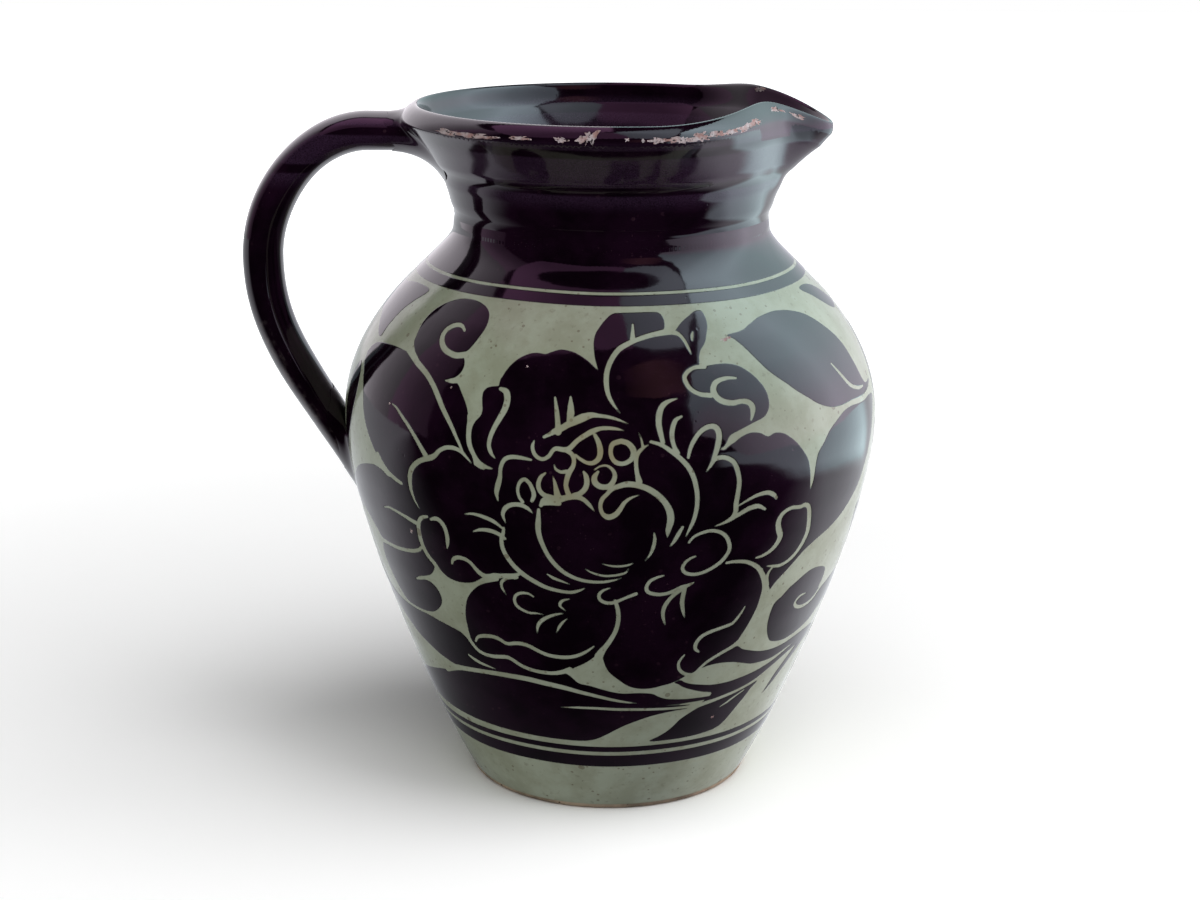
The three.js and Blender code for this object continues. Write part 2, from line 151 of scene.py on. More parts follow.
# Strokes cut through the slip: each one's points, written as above, and its widths in tenths
# of a millimetre, spread evenly along it
CUT_STROKES: tuple[Stroke, ...] = (
    # Scroll leaf
    ((-491, 1467, -19, 11, -21, 1, -22, -9, -13, -14, -1, -18, 14, -19, 22, -14, 25, -7, 25, -3,
      26, 5), (10, 17, 23, 21, 19, 22)),
    ((-487, 1325, 22, -1, 23, 4), (6, 9, 10)),
    ((-684, 1384, 34, -15, 31, -15, 31, -12, 32, -15, 31, -21, 25, -23, 25, -27, 25, -26, 19, -22,
      15, -21, 13, -18, 9, -15), (28, 20, 18, 19, 16, 12, 9)),
    ((-380, 1246, 2, -21, -1, -25, 5, -25, 13, -23, 17, -20, 22, -10, 16, -2),
      (24, 19, 18, 15, 14, 6)),
    # Left petals
    ((-669, 1231, 25, -7, 25, -15, 31, -19, 32, -25, 25, -24, 17, -18), (5, 9, 12, 13, 16, 20)),
    ((-366, 1127, -15, 13, -16, 12, -22, 6, -25, -2, -22, -11, -17, -17, -17, -9, -22, -8, -22,
      -11, -19, -16, -12, -18, -6, -25, 1, -25, 8, -25, 14, -23),
      (5, 12, 14, 14, 19, 16, 18, 20, 13, 5)),
    ((-724, 1080, 29, -24, 26, -15, 25, -9, 25, -6), (24, 18, 16, 16, 12)),
    ((-734, 930, 28, 6, 37, -2, 38, -5, 31, -6, 24, -4), (6, 9, 12, 15, 16)),
    ((-825, 806, 28, 4, 41, 1, 43, 2, 44, 5, 38, 7, 31, 10, 16, 11), (18, 14, 14, 14, 12)),
    # Left side of the heart
    ((-531, 950, -19, -6, -16, -13, -9, -19, -3, -21, 0, -22, 6, -22, 13, -22, 18, -17, 7, -14),
      (10, 15, 18, 20, 20, 18, 22)),
    ((-519, 944, 16, 6, 15, -1, 13, -12, 6, -15, 1, -22, -4, -19, -4, -13),
      (10, 16, 18, 17, 16, 6)),
    ((-469, 824, 6, 12, 13, 9, 16, 3, 18, -2, 16, -8, 11, -13, 14, -13, 19, -7, 31, 6, 31, 7, 25,
      4, 15, 4), (9, 15, 15, 14, 18, 20, 14, 12)),
    ((-306, 1325, 18, -6, 8, -19, -3, -25, -11, -25, -12, -25, -9, -25, -2, -22, 8, -19, 11, -11),
      (12, 22, 22, 19, 16, 15, 14, 5)),
    ((-396, 983, 27, 5, 31, -4, 29, -9, 23, -16), (5, 10, 14, 14, 8)),
    ((-376, 936, 23, 9, 28, 2, 25, -6, 18, -11), (5, 12, 15, 15, 12)),
    ((-200, 1153, -25, 3, -28, 0, -19, -9, -10, -22, -2, -25, -7, -25, -4, -19, 3, -20),
      (8, 13, 14, 14, 13, 19, 16, 6)),
    ((-198, 1011, -13, 12, -19, 8, -24, -2, -19, -12, -8, -19, 6, -22), (4, 13, 15, 15, 16, 13, 5)),
    # Cup of the flower
    ((-282, 960, -3, -15, -7, -20, 1, -25, 10, -25, 18, -25, 25, -22, 32, -19, 31, -14, 37, -8, 32,
      -2, 25, 7, 15, 8), (10, 14, 16, 17, 18, 16, 13, 12, 4)),
    ((-182, 1022, -2, -28, -2, -25, 3, -25, 8, -25, 12, -27, 19, -27, 25, -22, 31, -15, 32, -7, 36,
      -1, 34, 6, 22, 8), (11, 19, 17, 15, 16, 14, 12, 10, 3)),
    ((-169, 836, 16, -10, 22, -8, 23, -8), (6, 12, 9, 4)),
    ((-63, 858, 19, -11, 31, -8, 32, 2, 25, 7, 8, 12), (5, 8, 9, 9, 5)),
    ((-18, 875, 24, -6, 25, -1, 22, 4, 11, 5), (4, 8, 9, 8, 4)),
    ((116, 964, 3, -20, -3, -22, -7, -20, -13, -19), (6, 12, 13, 9, 4)),
    ((152, 948, 1, 22, 5, 25, -3, 25, -13, 26, -20, 22, -24, 17, -26, 10, -27, 4, -24, -6, -16, -8,
      -12, -13, -12, -14, -4, -20, 6, -19, 14, -9, 17, 6, 12, 14, 12, 20, 17, 13, 20, 7),
      (3, 18, 23, 22, 19, 19, 19, 18, 19, 16, 14, 13, 14, 13, 14, 19, 18, 16, 13, 9, 3)),
    # Stamens
    ((-38, 1223, 9, -17, 5, -21, -3, -19, -13, -12, -16, -1, -18, 9, -12, 10),
      (12, 16, 18, 17, 15, 12, 11, 8)),
    ((29, 1209, 17, -6, 12, -14, 1, -15, -8, -14, -17, -8, -18, 3, -11, 13, -3, 18, 6, 16, 21, 7),
      (16, 17, 19, 17, 15, 14, 15, 14, 14, 16, 16)),
    ((-29, 1131, -9, -14, 2, -15, 14, -10, 19, 1, 12, 13, 4, 17, -7, 15, -14, 9, -16, -2, -14, -9),
      (9, 17, 19, 18, 17, 16, 14, 11, 8, 7, 6)),
    ((-65, 1130, 6, -12, 2, -17, -5, -16, -13, -13, -13, -5), (8, 16, 17, 17, 17, 18)),
    ((-224, 1040, -9, 13, -3, 20, 6, 19, 12, 9, 12, -7, 9, -16, 4, -17, -6, -16),
      (12, 11, 11, 12, 13, 13, 14, 15, 12)),
    ((-162, 1122, -13, -12, -6, -19, 4, -17, 12, -11, 18, -4), (7, 13, 15, 15, 16, 16)),
    ((-144, 1117, 5, -16, 4, -20, 4, -20), (3, 10, 16, 22)),
    ((-194, 1202, -4, -14, 4, -16, 10, -11, 15, -4, 15, 9, 8, 13, 10, 7, 19, -2, 15, 4, 17, 18, 19,
      14, 20, 12, 22, 8, 23, 1, 20, -2, 17, -4),
      (6, 12, 13, 13, 12, 13, 13, 14, 16, 16, 15, 16, 17, 13, 12, 9, 3)),
    ((-110, 1183, 14, -9, 6, -15, -2, -16, -9, -15, -6, -17, -3, -18, 4, -17, 5, -11),
      (15, 14, 13, 14, 17, 16, 15, 16, 18)),
    ((-140, 1145, 4, -11, 13, -7, 14, 2), (5, 9, 11, 13)),
    ((-172, 1041, 23, 3, 21, -1), (16, 18, 15)),
    ((-176, 1034, 9, 14, 18, 6, 20, 0, 20, 6, 23, 3, 19, -5, 16, -15, 13, -17),
      (12, 20, 24, 22, 18, 16, 15, 13, 4)),
    ((74, 1105, -5, 20, -3, 23, 2, 23, 11, 16, 19, 12), (20, 14, 13, 13, 12, 4)),
    ((83, 1196, -3, 16, -7, 18), (10, 7, 3)),
    ((-148, 1314, 6, -26, 5, -26, 3, -22, 1, -12), (8, 15, 17, 22)),
    ((-106, 1317, 2, -23, 1, -19, -3, -18), (8, 19, 24, 16)),
    ((-169, 1213, 15, 8, 12, 8, 17, 8, 17, 11, 18, 9, 19, 9, 22, 7, 20, -1, 25, -3, 23, -6, 28, -11
      ), (10, 13, 18, 19, 20, 24, 25, 18, 12, 11, 9, 3)),
    # Bud and its twig
    ((196, 1496, -33, -4, -38, -6, -37, -10, -32, -12, -31, -17, -22, -28, -12, -31, -2, -32, 6,
      -31, 14, -25, 17, -21), (24, 18, 16, 19, 18, 18, 13, 4)),
    ((72, 1518, -2, -21, -2, -21), (9, 14, 20)),
    ((194, 1494, 22, -8, 13, -17, 9, -25, 4, -16), (19, 14, 12, 5)),
    ((266, 1490, -7, -12, -3, -12), (6, 12, 7)),
    # S-shaped leaf
    ((274, 1391, -30, -1, -22, -9, -13, -15, 4, -19, 12, -16, 22, -12, 29, -5),
      (16, 12, 14, 16, 15, 14, 16)),
    ((363, 1352, -25, 3, -25, -3, -19, -9, -8, -18, 8, -19, 19, -12, 25, -5, 25, 2, 21, -5, 10,
      -13, -3, -17, -7, -15), (8, 15, 22, 19, 15, 22, 8)),
    # Arched petals
    ((181, 1312, -25, -6, -18, -12, -9, -19, -3, -25, 4, -25, 5, -22), (5, 16, 20, 18, 14)),
    ((188, 1266, -16, -8, -9, -17, -4, -22, 4, -25, 11, -19), (8, 15, 16, 14, 12)),
    ((200, 1162, 6, 22, 10, 19, 15, 18, 19, 12, 19, 3, 13, -8, 4, -19, -6, -25, -8, -21, -9, -19,
      -14, -21), (10, 14, 15, 16, 20, 19, 14, 6)),
    ((104, 1206, 27, -9, 25, -17, 25, -21, 19, -22, 13, -24, 9, -32, 4, -31, -1, -31, -6, -28, -10,
      -25, -7, -18), (10, 14, 16, 16, 15, 14, 5)),
    ((191, 976, -10, -20, -9, -18, -10, -15), (10, 15, 13, 6)),
    ((258, 1134, 12, 16, 14, 5, 18, -2, 20, -12, 12, -22, 7, -31, -2, -32, -3, -31, 1, -19, -9,
      -18, -22, -11, -26, -7), (10, 14, 15, 16, 17, 18, 15, 4)),
    ((344, 1020, 31, 14, 25, 8, 31, 2, 22, -10, 9, -10), (6, 11, 14, 15, 11)),
    ((326, 984, 30, 15, 25, 10, 25, 1, 23, -12), (12, 16, 17, 9)),
    # Right side of the heart
    ((212, 930, 13, 16, 25, 10, 25, 2, 25, -8, 19, -16, 11, -22, 2, -18, -8, -18, -15, -17, -25,
      -15, -28, -10, -25, -1, -22, 8, -8, 15, 7, 16, 14, 11, 12, 4),
      (9, 12, 13, 15, 15, 13, 13, 12, 8)),
    ((426, 856, 24, 3, 25, 11, 17, 18, 6, 20, -10, 21, -6, 21, 6, 19, 15, 11, 22, 5, 22, -3, 12,
      -1, 16, 2, 16, -9, 10, -24, 6, -25, 3, -23, -4, -21, -12, -25, -19, -22, -25, -14, -25, -6,
      -22, 2, -13, 3, -18, 3), (8, 16, 23, 22, 14, 13, 15, 20, 21, 18, 14, 12, 6)),
    ((496, 816, -11, -16, -2, -19, 7, -23), (10, 11, 16, 22)),
    ((330, 856, 26, 0, 32, -5, 25, -10, 25, -16, 18, -19, 16, -23, 12, -23, 12, -24),
      (10, 13, 15, 18, 22, 30)),
    # Folds under the heart
    ((586, 1100, 0, -25, 1, -25, 1, -22), (22, 16, 12, 6)),
    ((-449, 580, 11, 14, 19, 9, 25, 5, 25, 1, 19, -5, 16, -8, 15, -1, 19, 5, 25, 2, 25, -5, 25,
      -11, 31, -11, 38, -4, 31, 2, 25, 6, 25, 12, 19, 13, 12, 10),
      (9, 15, 16, 14, 16, 15, 15, 13, 6)),
    ((-492, 608, 15, -22, 11, -19, 16, -17, 25, -9, 31, -1, 31, 4, 25, 3, 19, -6, 19, -11, 25, -10,
      31, -6, 31, -2, 32, 1, 31, 7, 26, 11), (22, 17, 15, 16, 16, 15, 15, 20)),
    ((-30, 580, 10, 18, 14, 19, 15, 24, 13, 28, 6, 31, -1, 28, -5, 22, -4, 12),
      (32, 20, 17, 16, 15, 12)),
    ((3, 802, -19, -8, -11, -13, 2, -15, 16, -10, 22, 0, 21, 9, 22, 10, 20, 8),
      (6, 12, 13, 13, 11, 13)),
    # Fern strokes and stalks
    ((-259, 817, -21, -4, -14, -5, -14, -12, -3, -15, 5, -13, 6, -11), (12, 11, 12, 10, 4)),
    ((-216, 762, -15, 8, -22, -1, -17, -10, -6, -15, 4, -16, 16, -12, 22, -7, 21, 1, 21, -2),
      (7, 11, 12, 13, 10, 4)),
    ((-133, 717, -23, -6, -25, -11, -22, -16, -11, -18, -4, -20), (6, 11, 14, 13, 5)),
    ((-121, 701, -15, -14, -11, -15, -10, -19), (4, 10, 11, 4)),
    ((-110, 764, -18, -5, -10, -9, -1, -11, 15, -13), (4, 10, 12, 10, 4)),
    ((150, 836, -19, -5, -18, -10, -9, -18, 5, -15, 19, -8, 22, -2, 25, 5, 25, 10, 19, 6, 19, 8),
      (7, 12, 14, 14, 13, 19, 7)),
    ((204, 788, -20, -15, -15, -17, -10, -22, -1, -22, 5, -18, 5, -14), (14, 15, 16, 12, 5)),
    ((214, 790, -3, -34, 3, -22, 5, -18, 6, -17), (16, 17, 13, 5)),
    ((425, 704, -9, -20, -13, -18, -12, -11, -22, -5, -31, -6, -29, -7, -21, -12, -11, -19, 2, -18,
      13, -11), (7, 13, 13, 14, 16, 17, 9)),
    # Hem and lowest petals
    ((434, 584, -18, -10, -32, -12, -34, -15, -20, -11, -16, -13, -10, -9), (22, 15, 14, 13, 10)),
    ((244, 572, -10, -13, -5, -15, 5, -18, 13, -14, 16, -9, 19, -5), (8, 12, 14, 14, 16)),
    ((-660, 439, 72, 20, 63, 9, 62, 7, 63, 5, 62, 2, 63, -1, 62, -7, 63, -9, 50, -11, 37, -8, 44,
      -10, 44, -10, 44, -8, 33, -4), (32, 20, 18, 20, 21, 20, 16, 14, 11, 3)),
    ((-169, 394, 38, 2, 31, 1, 62, 0, 63, -3, 63, -2, 62, -3, 63, -3, 50, -2, 47, -1),
      (4, 10, 12, 12, 11, 12)),
    # Leaves near the foot
    ((305, 382, 45, 3, 50, 5, 50, 8, 50, 7, 50, 9, 50, 10), (13, 16, 12, 11, 14)),
    ((440, 358, 35, 14, 31, 14, 34, 12), (5, 11, 9, 6)),
    ((-500, 522, 19, -9, 25, -8, 31, -5, 29, -4), (9, 15, 11, 4)),
    ((752, 1335, 27, -35, 25, -28, 29, -18, 42, -12, 39, -3), (8, 15, 15, 13, 8)),
    ((708, 681, -27, 1, -18, -8, -6, -12, 12, -12, 25, -9, 31, -3, 38, 4, 25, 10, 18, 14, 20, 12),
      (6, 12, 14, 14, 13, 14, 20)),
)

# Spray of bud and leaves on the spout's side, between the two flowers
SIDE_SHAPES: tuple[Run, ...] = (
    (1130, 450, -45, 56, -59, 14, -66, -44, 56, -52, 64, -10),
    (1126, 500, 60, 50, 78, -14, 76, -82, -80, -24, -80, 14),
    (1160, 675, -74, 15, -76, 76, -64, 124, 110, -20, 84, -64, 39, -71),
    (1206, 825, 68, 5, 56, 70, 16, 106, -80, -26, -50, -70),
    (1196, 965, -70, 1, -54, 54, -32, 90, 84, -14, 62, -60),
    (1140, 1105, -54, 41, -24, 64, 14, 70, 28, 60, 40, 56, 40, -56, 28, -64, 4, -70, -26, -60),
)
SIDE_STEMS: tuple[Stroke, ...] = (
    ((1190, 260, -46, 110, -22, 130, 28, 140, 48, 130, 14, 140, -32, 120, -36, 90),
      (34, 26, 24, 22, 24, 22, 22, 26)),
    ((1210, 920, 50, 100, 16, 80, -20, 46, -24, -16, 10, -24), (12, 13, 15, 13, 12, 8)),
)
SIDE_CUTS: tuple[Stroke, ...] = (
    ((1114, 466, -44, 4, -60, 2), (5, 13, 5)),
    ((1150, 504, 60, -2, 70, -24), (5, 13, 5)),
    ((1144, 710, -68, 54, -72, 72), (5, 14, 5)),
    ((1226, 856, 50, 44, 38, 56), (5, 13, 5)),
    ((1174, 994, -48, 32, -46, 44), (5, 12, 4)),
    ((1140, 1140, -14, 70, 6, 70, 12, 66), (6, 15, 13, 4)),
    ((1102, 1170, -12, 54, 10, 60), (5, 13, 4)),
    ((1180, 1166, 10, 54, -14, 68), (5, 13, 4)),
)


def smoothstep(value: Array, low: float, high: float) -> Array:
    """Eases a value from 0 at low to 1 at high."""
    share = np.clip((value - low) / (high - low), 0, 1)
    return share * share * (3 - 2 * share)


def unit(vectors: Array) -> Array:
    """Rows of vectors brought to length 1."""
    return vectors / np.maximum(np.linalg.norm(vectors, axis=1), 1e-9)[:, None]


def drawn(run: Run) -> Array:
    """Points in millimetres of a run that is drawn as a start and steps in tenths of one."""
    return np.array(run).reshape(-1, 2).cumsum(axis=0) / 10


def bezier(points: list[tuple[float, ...]], count: int) -> Array:
    """Points along a Bezier curve of any degree, both ends included.

    Args:
        points: The curve's control points.
        count: How many points to give.

    Returns:
        The points, one row each.
    """
    share = np.linspace(0, 1, count)[:, None]
    degree = len(points) - 1
    return sum(
        math.comb(degree, index) * (1 - share) ** (degree - index) * share**index * np.array(corner)
        for index, corner in enumerate(points)
    )


def spline(points: Array, closed: bool, steps: int = 6) -> Array:
    """Smooth curve through drawn points.

    Args:
        points: The drawn points.
        closed: Whether the last point leads back to the first.
        steps: How many pieces each stretch between two points gets.

    Returns:
        The curve's points, one row each.
    """
    if closed:
        run = np.vstack([points[-1], points, points[0], points[1]])
    else:
        run = np.vstack([2 * points[0] - points[1], points, 2 * points[-1] - points[-2]])
    share = np.linspace(0, 1, steps, endpoint=False)[:, None]
    pieces = []
    for before, start, end, after in zip(run, run[1:], run[2:], run[3:]):
        pieces.append(0.5 * (
            2 * start
            + (end - before) * share
            + (2 * before - 5 * start + 4 * end - after) * share**2
            + (3 * start - before - 3 * end + after) * share**3
        ))
    return np.vstack(pieces if closed else [*pieces, points[-1:]])


def measured(points: Array, start: float = 0.0) -> tuple[Array, Array, Array]:
    """Measures a line, without the points that it repeats.

    Args:
        points: The line's points, one row each.
        start: Length at which the line starts.

    Returns:
        The points, the length at each and the heading at each.
    """
    steps = np.linalg.norm(np.diff(points, axis=0), axis=1)
    points = points[np.append(True, steps > 1e-6)]
    steps = np.linalg.norm(np.diff(points, axis=0), axis=1)
    length = start + np.append(0, np.cumsum(steps))
    return points, length, unit(np.gradient(points, length, axis=0))


class Profile:
    """A run of points in the plane of radius and height, measured along its length."""

    def __init__(self, points: Array, start: float) -> None:
        """Measures the run.

        Args:
            points: Radius and height of each point.
            start: Length at which the run begins.
        """
        self.points, self.length, heading = measured(points, start)
        self.normal = np.stack([heading[:, 1], -heading[:, 0]], axis=1)
        self.end = float(self.length[-1])
        self.crest = int(np.argmax(self.points[:, 1]))

    def at(self, length: Array) -> Array:
        """Radius, height and the outward normal's two parts at lengths along the run."""
        return np.array([
            np.interp(length, self.length, part) for part in (*self.points.T, *self.normal.T)
        ])

    def rows(self, low: float, high: float, widest: float, finest: float, bend: float) -> Array:
        """Lengths between two ends, closer together where the run bends.

        Args:
            low: First length.
            high: Last length.
            widest: Spacing on straight stretches.
            finest: Smallest spacing.
            bend: Angle in radians that one step may turn by.

        Returns:
            The lengths, both ends included.
        """
        fine = np.arange(low, high, 0.05)
        angle = np.unwrap(np.arctan2(*self.at(fine)[:1:-1]))
        turning = np.abs(np.gradient(angle, fine)) + 1e-9
        turning = np.convolve(np.pad(turning, 4, mode="edge"), np.ones(9) / 9, mode="valid")
        density = 1 / np.clip(bend / turning, finest, widest)
        total = np.append(0, np.cumsum(density[:-1] * 0.05))
        count = max(2, int(round(total[-1])) + 1)
        return np.append(np.interp(np.linspace(0, total[-1], count), total, fine)[:-1], high)


@dataclass(frozen=True)
class LipSide:
    """How far the lip's pinch works on one side, in degrees and millimetres."""

    channel: float
    pinch_full: float
    pinch_end: float
    pinch: float
    rise: float


@dataclass(frozen=True)
class PotShape:
    """Section of the thrown pot and its pulled lip in millimetres, as in the CAD part."""

    foot_radius: float = 39.5
    belly_radius: float = BELLY
    belly_height: float = 104.8
    neck_radius: float = 43.6
    neck_height: float = 156.7
    rim_radius: float = 57.5
    rim_height: float = 190.0
    rim_edge_height: float = 185.5
    crest_radius: float = 53.4
    foot_bevel: float = 1.2
    floor_thickness: float = 7.0
    floor_fillet: float = 9.0
    lip_start: float = 158.0
    lip_turn: float = -4.8
    lip_reach: float = 6.2
    lip_dip: float = 4.3
    lip_easing: float = 2.1
    lip_thinning: float = 0.62
    front: LipSide = LipSide(11, 22, 74, 9.0, 2.9)
    back: LipSide = LipSide(24, 37, 72, 4.6, 2.6)
    throwing_grooves: tuple[Triple, ...] = ((160.5, 3.2, 0.55), (171.5, 3.4, 0.5))

    @property
    def wall(self) -> Array:
        """Outer wall from the foot's edge to the rim's edge."""
        foot, bevel = self.foot_radius, self.foot_bevel
        belly, middle = self.belly_radius, self.belly_height
        neck, waist = self.neck_radius, self.neck_height
        rim, edge = self.rim_radius, self.rim_edge_height
        return np.vstack([
            bezier([(foot, bevel), (foot + 3.5, bevel + 4.2), (belly, middle - 31.9),
                    (belly, middle)], 900),
            bezier([(belly, middle), (belly, middle + 30.1), (neck, waist - 7.2),
                    (neck, waist)], 700),
            bezier([(neck, waist), (neck, waist + 10.4), (rim - 9.6, edge - 9.6),
                    (rim, edge)], 400),
        ])

    @property
    def inner_wall(self) -> Array:
        """Inner face from under the rim down to the top of the floor's fillet."""
        wall = self.wall
        wall = wall[wall[:, 1] < self.rim_edge_height - 4.5]
        heading = unit(np.gradient(wall, axis=0))
        height = wall[:, 1]
        low = 6.5 + (5 - 6.5) * height / self.belly_height
        high = 5 - 0.5 * smoothstep(height, self.belly_height, self.neck_height)
        thick = np.where(height < self.belly_height, low, high)
        inner = wall + np.stack([-heading[:, 1], heading[:, 0]], axis=1) * thick[:, None]
        return inner[inner[:, 1] > self.floor_thickness + self.floor_fillet][::-1]

    @property
    def outside(self) -> Profile:
        """Wall, rim edge, crest and the rim's inner slope as one run."""
        rim, edge = self.rim_radius, self.rim_edge_height
        crest, high = self.crest_radius, self.rim_height
        throat, top = self.inner_wall[0]
        outer_slope = bezier([(rim, edge), (rim + 0.8, edge + 0.8), (crest + 1.8, high),
                              (crest, high)], 120)
        inner_slope = bezier([(crest, high), (crest - 1.8, high), (throat + 1.8, top + 1.8),
                              (throat, top)], 120)
        return Profile(np.vstack([self.wall, outer_slope, inner_slope]), 1.24)

    @property
    def inside(self) -> Profile:
        """Inner wall, floor fillet and floor as one run."""
        wall = self.inner_wall
        foot, flat, floor = wall[-1][0], wall[-1][0] - self.floor_fillet, self.floor_thickness
        fillet = bezier([tuple(wall[-1]), (foot - 3, floor), (flat, floor)], 60)
        return Profile(np.vstack([wall, fillet, [[flat, floor], [0.6, floor - 0.4]]]), 0)

    @property
    def underside(self) -> Profile:
        """Turned foot from the middle of the base out to the foot's edge."""
        return Profile(np.array([
            [0.6, 0.9], [14, 0.8], [27, 0.75], [30.2, 0.6], [31.4, 0.12], [32.4, 0.02],
            [38.0, 0.02], [38.9, 0.25], [39.35, 0.7], [39.5, 1.2],
        ]), 0)

    def groove_depth(self, height: Array) -> Array:
        """Depth of the finger grooves on the neck.

        Args:
            height: Heights on the wall.

        Returns:
            The depth at each.
        """
        return sum(
            deep * 0.5 * (1 + np.cos(np.pi * np.clip(np.abs(height - middle) / half, 0, 1)))
            for middle, half, deep in self.throwing_grooves
        )

    def pull_lip(self, points: Array) -> Array:
        """Moves points of the turned pot to where the fingers push them for the lip.

        Args:
            points: Points in millimetres, one row each.

        Returns:
            The moved points.
        """
        front, back = self.front, self.back
        radius = np.hypot(points[:, 0], points[:, 1])
        azimuth = np.arctan2(points[:, 1], points[:, 0]) - math.radians(self.lip_turn)
        turn = np.degrees(np.arctan2(np.sin(azimuth), np.cos(azimuth)))
        towards_back = smoothstep(turn, -20, 20)
        pinch = front.pinch + (back.pinch - front.pinch) * towards_back
        rise = front.rise + (back.rise - front.rise) * towards_back
        channel = np.exp(-((turn / np.where(turn < 0, front.channel, back.channel)) ** 2))
        full = np.where(turn < 0, front.pinch_full, back.pinch_full)
        end = np.where(turn < 0, front.pinch_end, back.pinch_end)
        pinched = 1 - smoothstep(np.abs(turn), full, end)
        above = np.clip(points[:, 2] - self.lip_start, 0, None)
        strength = (above / (self.rim_height - self.lip_start)) ** self.lip_easing
        strength = np.where(radius > 1, strength, 0)
        ledge = np.clip(radius - self.crest_radius, 0, None)
        outward = (pinch + self.lip_reach) * channel - pinch * pinched
        upward = rise * pinched - (rise + self.lip_dip) * channel
        thinning = np.where(above > 0, self.lip_thinning * pinched * ledge, 0)
        stretch = (radius + strength * outward - thinning) / np.maximum(radius, 1e-6)
        return np.stack([
            points[:, 0] * stretch, points[:, 1] * stretch, points[:, 2] + strength * upward,
        ], axis=1)

    def outer_radius(self, height: Array) -> Array:
        """Radius of the outside at heights up to the crest, away from the lip."""
        run = self.outside
        return np.interp(height, run.points[:run.crest, 1], run.points[:run.crest, 0])


@dataclass
class Skin:
    """Maps a place on the unrolled wall, in millimetres, to a point in space."""

    shape: PotShape
    profile: Profile
    wobble: float = 0.0

    def undulation(self, across: Array, along: Array) -> Array:
        """Depth of the soft rings and flats that throwing leaves, never outwards.

        Args:
            across: Distance round the pot.
            along: Distance along the section.

        Returns:
            The depth at each place.
        """
        angle = across / BELLY
        rings = np.sin(2 * np.pi * (along / 8.3) + angle + 0.6 * np.sin(along / 19))
        flats = np.sin(2 * angle + along / 31) + 0.7 * np.sin(3 * angle - along / 23 + 1.3)
        slow = np.sin(along / 6.1 + 1.7 * np.sin(angle + 0.4))
        return (2.6 + 0.32 * rings + 0.55 * flats + 0.35 * slow) * self.wobble

    def place(self, across: Array, along: Array, lift: Array | float = 0.0) -> Array:
        """Points in millimetres for places on the wall.

        Args:
            across: Distance round the pot, measured at the belly's radius.
            along: Distance along the section.
            lift: How far the point stands proud of the plain wall.

        Returns:
            One row of X, Y and Z for each place.
        """
        radius, height, out, rise = self.profile.at(along)
        lift = lift - self.undulation(across, along)
        lift = lift - self.shape.groove_depth(height) * (out > 0.2)
        radius = np.maximum(radius + out * lift, 0.001)
        angle = across / BELLY
        return self.shape.pull_lip(np.stack([
            radius * np.sin(angle), -radius * np.cos(angle), height + rise * lift,
        ], axis=1))

    def frame(self, across: Array, along: Array) -> tuple[Array, Array, Array]:
        """Outward normal and the two directions in which the wall is measured.

        Args:
            across: Distance round the pot.
            along: Distance along the section.

        Returns:
            The normal, and how a point moves per millimetre round the pot and up the wall.
        """
        step = 0.35
        low, high = np.clip([along - step, along + step], self.profile.length[0], self.profile.end)
        round_pot = self.place(across + step, along) - self.place(across - step, along)
        round_pot /= 2 * step
        up_wall = (self.place(across, high) - self.place(across, low)) / (high - low)[:, None]
        return unit(np.cross(round_pot, up_wall)), round_pot, up_wall


